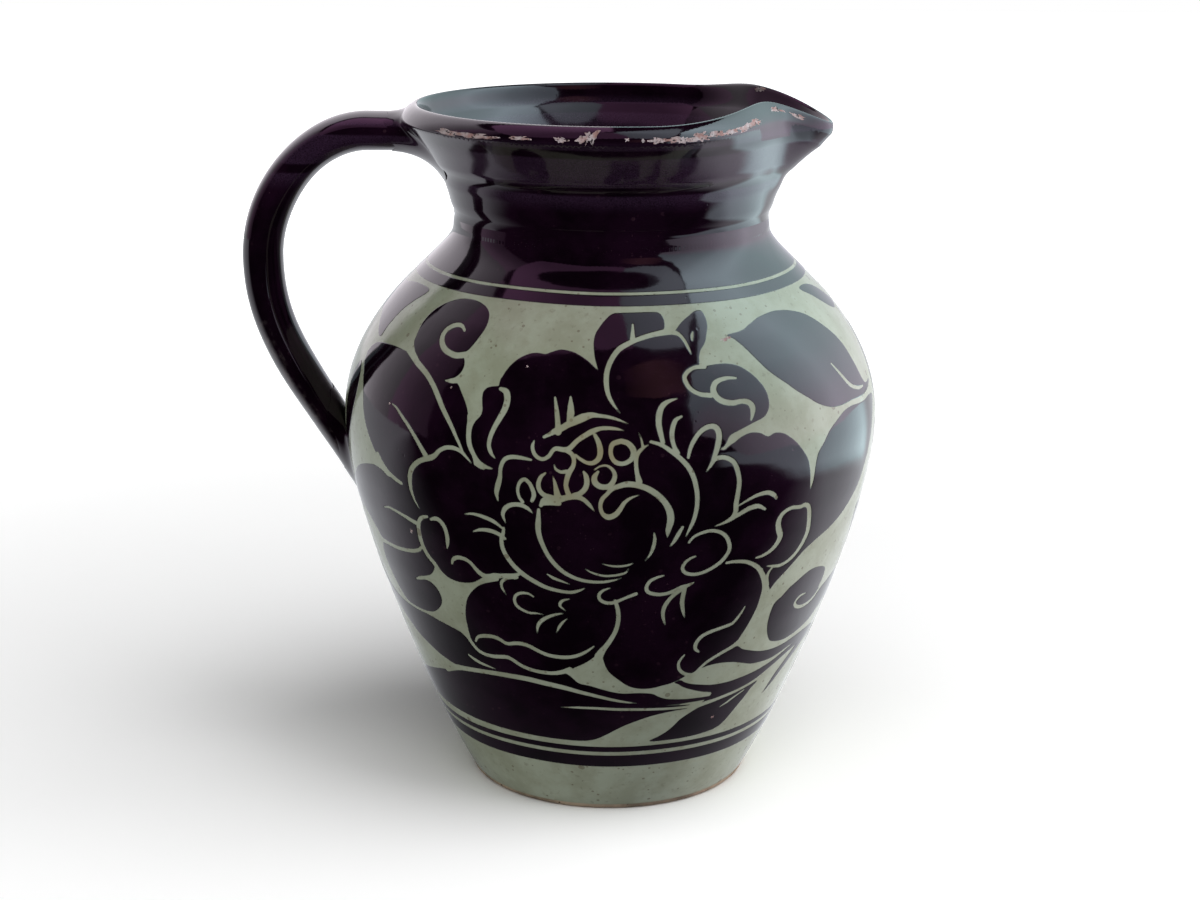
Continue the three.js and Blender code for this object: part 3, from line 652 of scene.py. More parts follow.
class Field:
    """Distances from the carving's edges on a fine grid: above zero is slip, below is clay."""

    reach = 1.0
    tolerance = 0.03
    longest = 1.6

    def __init__(self, left: float, right: float, low: float, high: float, step: float) -> None:
        """Lays out the grid, all clay.

        Args:
            left: First distance round the pot.
            right: Last one.
            low: First distance along the section.
            high: Last one.
            step: The grid's spacing.
        """
        self.across = np.linspace(left, right, int(round((right - left) / step)) + 1)
        self.along = np.linspace(low, high, int(round((high - low) / step)) + 1)
        self.step_across = self.across[1] - self.across[0]
        self.step_along = self.along[1] - self.along[0]
        self.values = np.full((len(self.along), len(self.across)), -self.reach)

    def _near(
        self, start: Array, end: Array, margin: float,
    ) -> tuple[tuple[slice, slice], Array, Array]:
        """Measures the grid round a segment.

        Args:
            start: The segment's first point.
            end: The segment's last point.
            margin: How far round the segment to measure.

        Returns:
            The window's rows and columns, the distances in it, and the shares along the segment.
        """
        low = np.minimum(start, end) - margin
        high = np.maximum(start, end) + margin
        left = int((low[0] - self.across[0]) / self.step_across)
        right = int((high[0] - self.across[0]) / self.step_across) + 2
        bottom = int((low[1] - self.along[0]) / self.step_along)
        top = int((high[1] - self.along[0]) / self.step_along) + 2
        window = (slice(max(bottom, 0), max(top, 0)), slice(max(left, 0), max(right, 0)))
        across = self.across[window[1]][None, :] - start[0]
        along = self.along[window[0]][:, None] - start[1]
        run = end - start
        share = (across * run[0] + along * run[1]) / max(float(run @ run), 1e-9)
        share = np.clip(share, 0, 1)
        return window, np.hypot(across - share * run[0], along - share * run[1]), share

    def _inside(self, loop: Array) -> Array:
        """Finds the grid points inside a closed loop by counting crossings.

        Args:
            loop: The loop's points.

        Returns:
            Whether each grid point is inside.
        """
        rows = (loop[:, 1] - self.along[0]) / self.step_along
        columns = (loop[:, 0] - self.across[0]) / self.step_across
        next_rows, next_columns = np.roll(rows, -1), np.roll(columns, -1)
        low = np.ceil(np.minimum(rows, next_rows)).astype(int)
        count = np.ceil(np.maximum(rows, next_rows)).astype(int) - low
        edge = np.repeat(np.arange(len(loop)), count)
        row = low[edge] + np.arange(count.sum()) - np.repeat(np.cumsum(count) - count, count)
        share = (row - rows[edge]) / (next_rows - rows)[edge]
        cross = columns[edge] + share * (next_columns - columns)[edge]
        column = np.clip(np.ceil(cross).astype(int), 0, len(self.across))
        real = (row >= 0) & (row < len(self.along))
        parity = np.zeros((len(self.along), len(self.across) + 1), np.int32)
        np.add.at(parity, (row[real], column[real]), 1)
        return np.cumsum(parity, axis=1)[:, :-1] % 2 == 1

    def add_shape(self, points: Array) -> None:
        """Joins a closed outline of slip to the field.

        Args:
            points: Points of the outline.
        """
        loop = spline(points, True)
        distance = np.full_like(self.values, self.reach)
        for start, end in zip(loop, np.roll(loop, -1, axis=0)):
            window, near, _ = self._near(start, end, self.reach)
            distance[window] = np.minimum(distance[window], near)
        signed = np.where(self._inside(loop), distance, -distance)
        self.values = np.maximum(self.values, signed)

    def add_stroke(self, stroke: Stroke, share: float = 1.0, cut: bool = True) -> None:
        """Takes a stroke of changing width out of the slip, or leaves one standing.

        Args:
            stroke: The drawn run, and the widths along it in tenths of a millimetre.
            share: What part of the widths to use.
            cut: Whether the stroke is cut out.
        """
        line = spline(drawn(stroke[0]), False)
        widths = share * (np.array(stroke[1]) / 10)
        marks = np.linspace(0, len(widths) - 1, len(line))
        half = np.interp(marks, np.arange(len(widths)), widths) / 2
        for start, end, wide, next_wide in zip(line, line[1:], half, half[1:]):
            window, near, part = self._near(start, end, self.reach + wide)
            edge = near - (wide + (next_wide - wide) * part)
            if cut:
                self.values[window] = np.minimum(self.values[window], edge)
            else:
                edge = np.clip(-edge, -self.reach, self.reach)
                self.values[window] = np.maximum(self.values[window], edge)

    def sample(self, across: Array, along: Array) -> Array:
        """Reads the field between the grid's points.

        Args:
            across: Distances round the pot.
            along: Distances along the section.

        Returns:
            The value at each place.
        """
        column = np.clip((across - self.across[0]) / self.step_across, 0, len(self.across) - 1.001)
        row = np.clip((along - self.along[0]) / self.step_along, 0, len(self.along) - 1.001)
        left, low = column.astype(int), row.astype(int)
        right_share, high_share = column - left, row - low
        grid = self.values
        bottom = grid[low, left] * (1 - right_share) + grid[low, left + 1] * right_share
        top = grid[low + 1, left] * (1 - right_share) + grid[low + 1, left + 1] * right_share
        return bottom * (1 - high_share) + top * high_share

    def slope(self, across: Array, along: Array) -> tuple[Array, Array]:
        """How the field grows round the pot and up the wall.

        Args:
            across: Distances round the pot.
            along: Distances along the section.

        Returns:
            The growth per millimetre in both directions.
        """
        step = self.step_across
        round_pot = self.sample(across + step, along) - self.sample(across - step, along)
        up_wall = self.sample(across, along + step) - self.sample(across, along - step)
        return round_pot / (2 * step), up_wall / (2 * step)

    def contours(self, level: float) -> list[Array]:
        """Lines along which the field has one value.

        Args:
            level: The value.

        Returns:
            The lines, each a chain of points.
        """
        grid = self.values - level
        grid = np.where(np.abs(grid) < 1e-7, 1e-7, grid)
        above = grid > 0
        flat = above[:, :-1] != above[:, 1:]
        upright = above[:-1, :] != above[1:, :]
        flat_at = np.full(flat.shape, -1)
        upright_at = np.full(upright.shape, -1)
        flat_at[flat] = np.arange(flat.sum())
        upright_at[upright] = flat.sum() + np.arange(upright.sum())
        row, column = np.nonzero(flat)
        share = grid[row, column] / (grid[row, column] - grid[row, column + 1])
        first = np.stack([self.across[column] + share * self.step_across, self.along[row]], axis=1)
        row, column = np.nonzero(upright)
        share = grid[row, column] / (grid[row, column] - grid[row + 1, column])
        second = np.stack([self.across[column], self.along[row] + share * self.step_along], axis=1)
        points = np.vstack([first, second])
        sides = np.stack([
            flat_at[:-1, :], upright_at[:, 1:], flat_at[1:, :], upright_at[:, :-1],
        ], axis=-1)
        links = link_sides(above[:-1, :-1], sides)
        chains = walk_chains(links, len(points))
        return [simplify(points[chain], self.tolerance, self.longest) for chain in chains]


def link_sides(above: Array, sides: Array) -> Array:
    """Pairs of crossings that the grid's cells join.

    Args:
        above: Whether each cell's first corner lies above the level.
        sides: Crossing on the bottom, right, top and left side of each cell, or -1.

    Returns:
        The pairs, one row each.
    """
    count = (sides >= 0).sum(axis=-1)
    plain = sides[count == 2]
    four = sides[count == 4]
    corner = above[count == 4]
    return np.vstack([
        plain[plain >= 0].reshape(-1, 2),
        four[corner][:, [0, 1]], four[corner][:, [2, 3]],
        four[~corner][:, [3, 0]], four[~corner][:, [1, 2]],
    ])


def walk_chains(links: Array, count: int) -> list[Array]:
    """Joins pairs of numbers into chains, open ones first and closed ones after.

    Args:
        links: Pairs of point numbers.
        count: How many points there are.

    Returns:
        The point numbers of each chain, in order.
    """
    neighbours: list[list[int]] = [[] for _ in range(count)]
    for first, second in links.tolist():
        neighbours[first].append(second)
        neighbours[second].append(first)
    used = [False] * count
    chains = []
    for start in sorted(range(count), key=lambda number: len(neighbours[number])):
        if used[start] or not neighbours[start]:
            continue
        chain = []
        ahead = [start]
        while ahead:
            used[ahead[0]] = True
            chain.append(ahead[0])
            ahead = [item for item in neighbours[chain[-1]] if not used[item]]
        if len(chain) > 2 and start in neighbours[chain[-1]]:
            chain.append(start)
        if len(chain) > 3:
            chains.append(np.array(chain))
    return chains


def simplify(points: Array, tolerance: float, longest: float) -> Array:
    """Drops points of a line that stray less than a distance from it.

    Args:
        points: The line's points.
        tolerance: The distance in millimetres.
        longest: Length from which a span is halved, in millimetres.

    Returns:
        The points that are kept.
    """
    keep = np.zeros(len(points), bool)
    keep[[0, -1]] = True
    spans = [(0, len(points) - 1)]
    while spans:
        start, end = spans.pop()
        if end - start < 2:
            continue
        run = points[end] - points[start]
        between = points[start + 1:end] - points[start]
        size = math.hypot(run[0], run[1])
        if size < 1e-9:
            away = np.hypot(between[:, 0], between[:, 1])
        else:
            away = np.abs(between[:, 0] * run[1] - between[:, 1] * run[0]) / size
        worst = int(np.argmax(away))
        if away[worst] > tolerance or size >= longest:
            middle = start + 1 + (worst if away[worst] > tolerance else len(between) // 2)
            keep[middle] = True
            spans += [(start, middle), (middle, end)]
    return points[keep]


class Region(Enum):
    """Clay surfaces of the pot that have finishes of their own."""

    SLIP = 0
    GROUND = 1
    CHIP = 2
    FOOT = 3


@dataclass(frozen=True)
class Chip:
    """A flake broken from the rim: where it is, how big, and how it is turned."""

    across: float
    along: float
    half_length: float
    half_height: float
    lean: float = 0.0

    def outline(self, seed: int) -> Array:
        """Ragged closed outline of the flake.

        Args:
            seed: Number that the ragged edge is drawn from.

        Returns:
            The outline's points.
        """
        turns = np.linspace(0, 2 * np.pi, 22, endpoint=False)
        ragged = 1 + 0.34 * np.random.default_rng(seed).standard_normal(len(turns))
        ragged = np.clip(ragged, 0.4, 1.5)
        out = self.half_length * ragged * np.cos(turns)
        rise = self.half_height * ragged * np.sin(turns)
        lean = math.radians(self.lean)
        return np.stack([
            self.across + out * math.cos(lean) - rise * math.sin(lean),
            self.along + out * math.sin(lean) + rise * math.cos(lean),
        ], axis=1)


@dataclass
class Carving:
    """The cut and scraped slip of the whole wall, unrolled from the seam under the handle."""

    step: float = 0.25
    bevel: float = 0.2
    thinner: float = 0.88
    relief: float = 0.08
    low: float = 14.0
    high: float = 164.0
    dark_bands: tuple[Point, ...] = ((17.7, 22.0), (23.5, 25.3), (157.5, 400.0))
    neck_line: Point = (161.3, 0.5)
    motif_low: float = 26.0
    motif_high: float = 157.2
    distances: Field = field(init=False)

    def __post_init__(self) -> None:
        """Draws the front's field and lays it round the pot."""
        front = Field(SEAM - 1, -SEAM + 1, 25, 159, self.step)
        for run in SLIP_SHAPES.values():
            front.add_shape(drawn(run))
        for stroke in CUT_STROKES:
            front.add_stroke(stroke, self.thinner)
        whole = Field(SEAM, FAR_SEAM, self.low, self.high, self.step)
        across, along = np.meshgrid(whole.across, whole.along)
        whole.values = self._motif(front, across, along)
        for run in SIDE_SHAPES:
            whole.add_shape(drawn(run))
        for stroke in SIDE_STEMS:
            whole.add_stroke(stroke, cut=False)
        for stroke in SIDE_CUTS:
            whole.add_stroke(stroke)
        whole.values = self._bands(whole.values, across, along)
        whole.values[:, -1] = whole.values[:, 0]
        self.distances = whole

    @staticmethod
    def _motif(front: Field, across: Array, along: Array) -> Array:
        """Peony on the front, and its turned and loosened repeat on the back.

        Args:
            front: The front's field.
            across: Distances round the pot.
            along: Distances along the section.

        Returns:
            The field's values there.
        """
        behind = across > -SEAM
        loose = np.sin(np.pi * np.clip((across + SEAM) / HALF_TURN, 0, 1)) ** 2
        taper = np.sin(np.pi * np.clip((along - 27) / 130, 0, 1))
        drift = loose * (2.2 + 3.4 * np.sin(along / 21 + 0.8) + 1.6 * np.sin(along / 9))
        climb = loose * taper * (2.6 * np.sin(across / 19) - 1.5 * np.sin(across / 8.5 + 1))
        turned = 2 * -SEAM - across + drift
        return front.sample(
            np.where(behind, turned, across), np.where(behind, along + climb, along),
        )

    def _bands(self, values: Array, across: Array, along: Array) -> Array:
        """Adds the plain dark bands and takes out the turned pale lines.

        Args:
            values: The field's values so far.
            across: Distances round the pot.
            along: Distances along the section.

        Returns:
            The new values.
        """
        angle = across / BELLY
        height = along + (0.13 * np.sin(3 * angle + 0.5) + 0.07 * np.sin(8 * angle + 2))
        inside = np.minimum(height - self.motif_low, self.motif_high - height)
        values = np.minimum(values, np.clip(inside + self.bevel, -1, 1))
        for low, high in self.dark_bands:
            values = np.maximum(values, np.clip(np.minimum(height - low, high - height), -1, 1))
        middle, half = self.neck_line
        return np.minimum(values, np.clip(np.abs(height - middle) - half, -1, 1))

    def value(self, spots: Array) -> Array:
        """Distance from the edges, with plain slip above the carving and clay below it."""
        value = self.distances.sample(spots[:, 0], spots[:, 1])
        value = np.where(spots[:, 1] >= self.high, 1.0, value)
        return np.where(spots[:, 1] <= self.low, -1.0, value)

    def lift(self, value: Array) -> Array:
        """How far a place lies below the slip's face, for its distance from an edge."""
        return -self.relief * (1 - np.clip((value + self.bevel) / (2 * self.bevel), 0, 1))

    def lean(self, spots: Array, value: Array, round_pot: Array, up_wall: Array) -> Array:
        """How the bevels tip the wall's normal.

        Args:
            spots: Places on the wall.
            value: Their distances from an edge.
            round_pot: How the wall runs round the pot there.
            up_wall: How it runs upwards.

        Returns:
            What to take from the normal.
        """
        slope_across, slope_along = self.distances.slope(spots[:, 0], spots[:, 1])
        tilt = slope_across / np.maximum((round_pot**2).sum(axis=1), 1e-6)
        climb = slope_along / np.maximum((up_wall**2).sum(axis=1), 1e-6)
        steep = self.relief / (2 * self.bevel)
        beside = np.abs(np.abs(value) - self.bevel) < 0.005
        weight = np.where(np.abs(value) < 0.02, steep, np.where(beside, 0.06 * steep, 0.0))
        return (round_pot * tilt[:, None] + up_wall * climb[:, None]) * weight[:, None]


@dataclass
class WallPlan:
    """Points of the unrolled wall, the edges that join them and the level each lies on."""

    spots: list[Array]
    levels: list[Array]
    links: list[Array] = field(default_factory=list)

    def add_line(self, line: Array, level: float) -> None:
        """Adds a line of points, closed where its ends meet, on a level.

        Args:
            line: The points.
            level: The level.
        """
        closed = np.allclose(line[0], line[-1])
        line = line[:-1] if closed else line
        count = sum(len(spots) for spots in self.spots)
        numbers = np.arange(count, count + len(line))
        self.links.append(np.stack([numbers[:-1], numbers[1:]], axis=1))
        if closed:
            self.links.append(np.array([[numbers[-1], numbers[0]]]))
        self.spots.append(line)
        self.levels.append(np.full(len(line), level))

    def triangulate(self) -> tuple[Array, Array, Array]:
        """Joins the points into triangles that keep every line.

        Returns:
            The points, three point numbers for each triangle, and the points' levels or nan.
        """
        flat = [Vector(item) for item in np.vstack(self.spots).tolist()]
        edges = [tuple(pair) for pair in np.vstack(self.links).tolist()]
        found = delaunay_2d_cdt(flat, edges, [], 0, 1e-6)
        level = np.concatenate(self.levels)
        marks = [level[sources[0]] if sources else np.nan for sources in found[3]]
        corners = np.array([face for face in found[2] if len(face) == 3])
        return np.array([tuple(item) for item in found[0]]), corners, np.array(marks)


@dataclass
class ThrownBody:
    """The thrown pot: carved outer wall, rim, inside and turned foot."""

    shape: PotShape
    carving: Carving
    chips: tuple[Chip, ...]
    sides: int = 240
    chip_depth: float = 0.4
    chip_slope: float = 0.2
    clear_of_carving: float = 0.6
    clear_of_chips: float = 0.3
    chip_field: Field = field(init=False)
    places: list[Array] = field(default_factory=list)
    normals: list[Array] = field(default_factory=list)
    edges: list[Array] = field(default_factory=list)
    faces: list[Array] = field(default_factory=list)
    regions: list[Array] = field(default_factory=list)

    def build(self) -> Thing:
        """Makes the pot's mesh with a finish for each region.

        Returns:
            The pot.
        """
        chipped = Field(SEAM, FAR_SEAM, 26, 216, 0.2)
        for number, chip in enumerate(self.chips):
            chipped.add_shape(chip.outline(number))
        chipped.values[:, -1] = chipped.values[:, 0]
        self.chip_field = chipped
        bottom, top = self._carved_wall(Skin(self.shape, self.shape.outside, wobble=0.05))
        inside = Skin(self.shape, self.shape.inside, wobble=0.05)
        rows = inside.profile.rows(0, inside.profile.end, 4.0, 1.2, 0.16)
        self._turned_rows(inside, rows[1:], top, Region.SLIP, True)
        under = Skin(self.shape, self.shape.underside)
        rows = under.profile.rows(0, under.profile.end, 1.6, 0.25, 0.25)
        self._turned_rows(under, rows[:-1][::-1], bottom, Region.FOOT, False)
        faces = np.vstack(self.faces)
        whole = (faces != np.roll(faces, 1, axis=1)).all(axis=1)
        return make_mesh(
            "jug_body", np.vstack(self.places) * MM, faces[whole],
            {"edge": np.concatenate(self.edges)}, np.vstack(self.normals),
            np.concatenate(self.regions)[whole],
        )

    def _add_vertices(self, places: Array, normals: Array, edge: Array) -> Array:
        """Keeps vertices for the mesh.

        Args:
            places: The vertices.
            normals: Their normals.
            edge: How much of the carving's edge each shows.

        Returns:
            Their numbers.
        """
        count = sum(len(kept) for kept in self.places)
        self.places.append(places)
        self.normals.append(normals)
        self.edges.append(edge)
        return np.arange(count, count + len(places))

    def _add_faces(self, faces: Array, region: Array | Region, turned: bool = False) -> None:
        """Keeps faces for the mesh.

        Args:
            faces: Three vertex numbers for each.
            region: Their finish.
            turned: Whether they are wound the other way round.
        """
        self.faces.append(faces[:, ::-1] if turned else faces)
        if isinstance(region, Region):
            region = np.full(len(faces), region.value)
        self.regions.append(region)

    def _lattice(self, profile: Profile) -> Array:
        """Plain grid of places over the wall, closer where the section bends.

        Args:
            profile: The wall's section.

        Returns:
            Rows of places.
        """
        rows = np.concatenate([
            profile.rows(profile.length[0], 17.0, 2.2, 0.5, 0.12)[:-1],
            profile.rows(17.0, 157.0, 2.5, 1.0, 0.08)[:-1],
            profile.rows(157.0, 203.0, 1.3, 0.6, 0.06)[:-1],
            profile.rows(203.0, profile.end, 1.0, 0.3, 0.13),
        ])
        turns = SEAM + 2 * HALF_TURN * np.arange(self.sides + 1) / self.sides
        across, along = np.meshgrid(turns, rows)
        across[1:-1:2, 1:-1] += HALF_TURN / self.sides
        return np.stack([across, along], axis=-1)

    def _carved_wall(self, skin: Skin) -> tuple[Array, Array]:
        """Cuts the outer wall into triangles that follow every carved edge.

        Args:
            skin: The outer wall.

        Returns:
            Numbers of the vertices of the bottom row and of the top row.
        """
        carving = self.carving
        lattice = self._lattice(skin.profile)
        grid = lattice.reshape(-1, 2)
        near = np.abs(carving.value(grid)) < self.clear_of_carving
        near |= np.abs(self._chip_value(grid)) < self.clear_of_chips
        grid = grid[~near | (grid[:, 0] <= SEAM + 0.01) | (grid[:, 0] >= FAR_SEAM - 0.01)]
        plan = WallPlan([grid], [np.full(len(grid), np.nan)])
        for level in (carving.bevel, 0.0, -carving.bevel):
            for line in carving.distances.contours(level):
                height = line[:, 1]
                if height.min() >= carving.low + 0.01 and height.max() <= carving.high - 0.01:
                    plan.add_line(line, level)
        for level in (0.0, self.chip_slope):
            for line in self.chip_field.contours(level):
                plan.add_line(line, 10 + level)
        spots, corners, marks = plan.triangulate()
        value = np.where(marks < 5, marks, carving.value(spots))
        chip = np.where(marks > 5, marks - 10, self._chip_value(spots))
        lift = carving.lift(value) - self.chip_depth * np.clip(chip / self.chip_slope, 0, 1)
        normal, round_pot, up_wall = skin.frame(spots[:, 0], spots[:, 1])
        inner = (spots[:, 1] > carving.low) & (spots[:, 1] < carving.high)
        lean = carving.lean(spots, value, round_pot, up_wall) * (inner & (marks < 5))[:, None]
        edge = np.where((np.abs(value) < 0.02) & inner, 1.0, 0.0)
        places = skin.place(spots[:, 0], spots[:, 1], lift)
        numbers = self._add_vertices(places, unit(normal - lean), edge)
        numbers = self._close_seam(spots, numbers)
        middle = spots[corners].mean(axis=1)
        region = np.where(carving.value(middle) > 0, Region.SLIP.value, Region.GROUND.value)
        region = np.where(self._chip_value(middle) > 0, Region.CHIP.value, region)
        self._add_faces(numbers[corners], region)
        ends = []
        for along in (lattice[0, 0, 1], lattice[-1, 0, 1]):
            row = np.nonzero(np.abs(spots[:, 1] - along) < 1e-4)[0]
            ends.append(numbers[row[np.argsort(spots[row, 0])][:-1]])
        return ends[0], ends[1]

    def _chip_value(self, spots: Array) -> Array:
        """Distance from the chips' edges, with no chip below or above their field."""
        chipped = self.chip_field
        value = chipped.sample(spots[:, 0], spots[:, 1])
        outside = (spots[:, 1] <= chipped.along[0]) | (spots[:, 1] >= chipped.along[-1])
        return np.where(outside, -1.0, value)

    @staticmethod
    def _close_seam(spots: Array, numbers: Array) -> Array:
        """Gives the vertices of the seam's far side the numbers of its near side.

        Args:
            spots: Places of the vertices.
            numbers: Their numbers.

        Returns:
            The new numbers.
        """
        near = np.nonzero(spots[:, 0] < SEAM + 1e-4)[0]
        far = np.nonzero(spots[:, 0] > FAR_SEAM - 1e-4)[0]
        near = near[np.argsort(spots[near, 1])]
        order = np.searchsorted(spots[near, 1], spots[far, 1] - 0.02)
        order = np.clip(order, 0, len(near) - 1)
        close = np.abs(spots[near[order], 1] - spots[far, 1]) < 0.04
        paired = numbers.copy()
        paired[far[close]] = numbers[near[order[close]]]
        return paired

    def _turned_rows(
        self, skin: Skin, rows: Array, first: Array, region: Region, inside: bool,
    ) -> None:
        """Adds plain rows that carry on from a row of vertices to the middle of the pot.

        Args:
            skin: The surface.
            rows: Lengths along it, from the given row inwards.
            first: Vertices of the given row.
            region: The rows' finish.
            inside: Whether it is the inside of the pot, by which the faces are wound.
        """
        turns = SEAM + 2 * HALF_TURN * np.arange(self.sides) / self.sides
        low = first
        for along in rows:
            row = np.full(self.sides, along)
            normal = skin.frame(turns, row)[0]
            high = self._add_vertices(skin.place(turns, row), normal, np.zeros(self.sides))
            low_next, high_next = np.roll(low, -1), np.roll(high, -1)
            pair = [np.stack([low, low_next, high_next], axis=1),
                    np.stack([low, high_next, high], axis=1)]
            self._add_faces(np.vstack(pair), region, not inside)
            low = high
        middle = skin.place(np.zeros(1), rows[-1:])
        middle[0, :2] = 0
        up = np.array([[0, 0, 1.0 if inside else -1.0]])
        centre = np.full(self.sides, self._add_vertices(middle, up, np.zeros(1))[0])
        fan = np.stack([low, np.roll(low, -1), centre], axis=1)
        self._add_faces(fan, region, not inside)


def link_thing(name: str, content: bpy.types.ID | None) -> Thing:
    """Makes an object of a mesh, lamp or camera and links it to the scene."""
    thing = bpy.data.objects.new(name, content)
    bpy.context.scene.collection.objects.link(thing)
    return thing


def make_mesh(
    name: str, places: Array, faces: Array, values: dict[str, Array],
    normals: Array | None = None, regions: Array | None = None,
) -> Thing:
    """Makes an object from triangles.

    Args:
        name: The object's name.
        places: Vertices in metres.
        faces: Vertex numbers of each triangle.
        values: Named numbers for each vertex, which the materials read.
        normals: One shading normal for each vertex, or None for plain smooth shading.
        regions: Material number of each triangle, or None for the first material.

    Returns:
        The object, linked to the scene.
    """
    used = np.unique(faces)
    renumber = np.full(len(places), -1)
    renumber[used] = np.arange(len(used))
    mesh = bpy.data.meshes.new(name)
    mesh.from_pydata(places[used].tolist(), [], renumber[faces].tolist())
    if regions is not None:
        mesh.polygons.foreach_set("material_index", regions.astype(np.int32))
    mesh.polygons.foreach_set("use_smooth", np.ones(len(mesh.polygons), bool))
    for label, numbers in values.items():
        layer = mesh.attributes.new(label, "FLOAT", "POINT")
        layer.data.foreach_set("value", numbers[used].astype(np.float32))
    mesh.update()
    if normals is not None:
        mesh.normals_split_custom_set_from_vertices(normals[used].tolist())
    return link_thing(name, mesh)


@dataclass
class HandleShape:
    """Middle line and section of the pulled handle in millimetres, as in the CAD part."""

    pot: PotShape
    line: Array = field(init=False)
    length: Array = field(init=False)
    heading: Array = field(init=False)
    end: float = field(init=False)

    def __post_init__(self) -> None:
        """Lays out the middle line."""
        pot = self.pot
        top = pot.rim_height - 8.2
        shoulder = -(pot.rim_radius + 9)
        outer, level = -(pot.belly_radius + 22), pot.rim_height - 43
        low = pot.belly_height - 10.8
        root = -float(pot.outer_radius(np.array([low]))[0])
        run, fall = math.cos(math.radians(56)), -math.sin(math.radians(56))
        flat = np.vstack([
            bezier([(-pot.neck_radius, top), (shoulder, top)], 60),
            bezier([(shoulder, top), (shoulder - 16, top), (outer, level + 17),
                    (outer, level)], 300),
            bezier([(outer, level), (outer, level - 18), (root - 28 * run, low - 28 * fall),
                    (root, low)], 300),
            bezier([(root, low), (root + 14 * run, low + 14 * fall)], 60),
        ])
        line = np.insert(flat, 1, 0.0, axis=1)
        self.line, self.length, self.heading = measured(line)
        self.end = float(self.length[-1])

    def half_sizes(self, along: Array) -> tuple[Array, Array]:
        """Half thickness and half width of the oval.

        Args:
            along: Distances along the middle line.

        Returns:
            Both sizes at each.
        """
        share = along / self.end
        thick = np.interp(share, [0, 0.5, 1], [11.2, 11.8, 10.4]) / 2
        wide = np.interp(share, [0, 0.5, 1], [20, 17, 15.5]) / 2
        near = 1 - smoothstep(np.minimum(along, self.end - along), 0, 16)
        return thick + 0.4 * near, wide + 4 * near

    def surface(self, along: Array, turn: Array, proud: Array | float = 0.0) -> Array:
        """Points on the handle's skin.

        Args:
            along: Distance along the middle line.
            turn: Angle round the oval, from the outer side towards +Y.
            proud: How far the point stands off the plain oval.

        Returns:
            One row of X, Y and Z for each point.
        """
        centre, ahead = (
            np.stack([np.interp(along, self.length, part) for part in of.T], axis=1)
            for of in (self.line, self.heading)
        )
        side = np.array([0.0, 1.0, 0.0])
        thick, wide = self.half_sizes(along)
        points = centre + np.cross(side, ahead) * ((thick + proud) * np.cos(turn))[:, None]
        return points + side * ((wide + proud) * np.sin(turn))[:, None]

    def meets_wall(self, turn: float, at_top: bool, sunk: float) -> float:
        """Where the skin reaches a depth under the pot's wall.

        Args:
            turn: Angle round the oval.
            at_top: Whether it is the end at the rim.
            sunk: The depth.

        Returns:
            The distance along the middle line.
        """
        along = np.linspace(0, 45, 900) if at_top else np.linspace(self.end, self.end - 60, 1200)
        points = self.surface(along, np.full(len(along), turn))
        out = np.hypot(points[:, 0], points[:, 1]) - self.pot.outer_radius(points[:, 2])
        above = np.nonzero(out + sunk > 0)[0]
        return float(along[above[0] if len(above) else 0])


@dataclass
class PulledHandle:
    """The strap: a pulled oval with soft facets and worn edges."""

    shape: HandleShape
    sides: int = 72
    steps: int = 240

    def build(self) -> Thing:
        """Makes the strap from just under the wall at the top to just under it at the root.

        Returns:
            The strap.
        """
        turns = np.linspace(0, 2 * np.pi, self.sides, endpoint=False)
        starts = np.array([self.shape.meets_wall(turn, True, 1.6) for turn in turns])
        ends = np.array([self.shape.meets_wall(turn, False, 1.2) for turn in turns])
        shares = np.linspace(0, 1, self.steps + 1)[:, None]
        along = (starts + (ends - starts) * shares).ravel()
        turn = np.tile(turns, self.steps + 1)
        places = self.shape.surface(along, turn, -0.12 + self.relief(along, turn)) * MM
        faces = tube_faces(self.steps, self.sides)
        return make_mesh("jug_handle", places, faces, {"wear": self.wear(along, turn)})

    @staticmethod
    def relief(along: Array, turn: Array) -> Array:
        """Hand-pulled unevenness, never outwards."""
        pulled = np.sin(3 * turn + along / 17) + 0.6 * np.sin(5 * turn - along / 23 + 1)
        nudged = np.sin(along / 7.3 + 0.8 * np.cos(turn)) + 0.7 * np.sin(along / 3.9 + 2 * turn)
        return 0.1 * (pulled - 1.6) + 0.05 * (nudged - 1.7)

    def wear(self, along: Array, turn: Array) -> Array:
        """How far hands and knocks have taken the glaze off, from 0 to 1.

        Args:
            along: Distances along the middle line.
            turn: Angles round the oval.

        Returns:
            The wear at each place.
        """
        share = along / self.shape.end
        edge = np.exp(-((np.sin(turn) + 0.82) / 0.3) ** 2)
        outer = np.where(np.cos(turn) > 0, 1.0, 0.25)
        lower = smoothstep(share, 0.5, 0.66)
        upper = 0.55 * (1 - smoothstep(share, 0.2, 0.42))
        return 0.62 * edge * outer * (lower + upper)


def tube_faces(steps: int, sides: int) -> Array:
    """Joins the rings of a tube, whose vertices follow each other, with triangles.

    Args:
        steps: Number of bands between rings.
        sides: Vertices in a ring.

    Returns:
        Vertex numbers of each triangle.
    """
    base = np.arange(steps)[:, None] * sides
    low = base + np.arange(sides)
    low_next = base + (np.arange(sides) + 1) % sides
    first = np.stack([low, low_next, low_next + sides], axis=-1)
    second = np.stack([low, low_next + sides, low + sides], axis=-1)
    return np.vstack([first.reshape(-1, 3), second.reshape(-1, 3)])


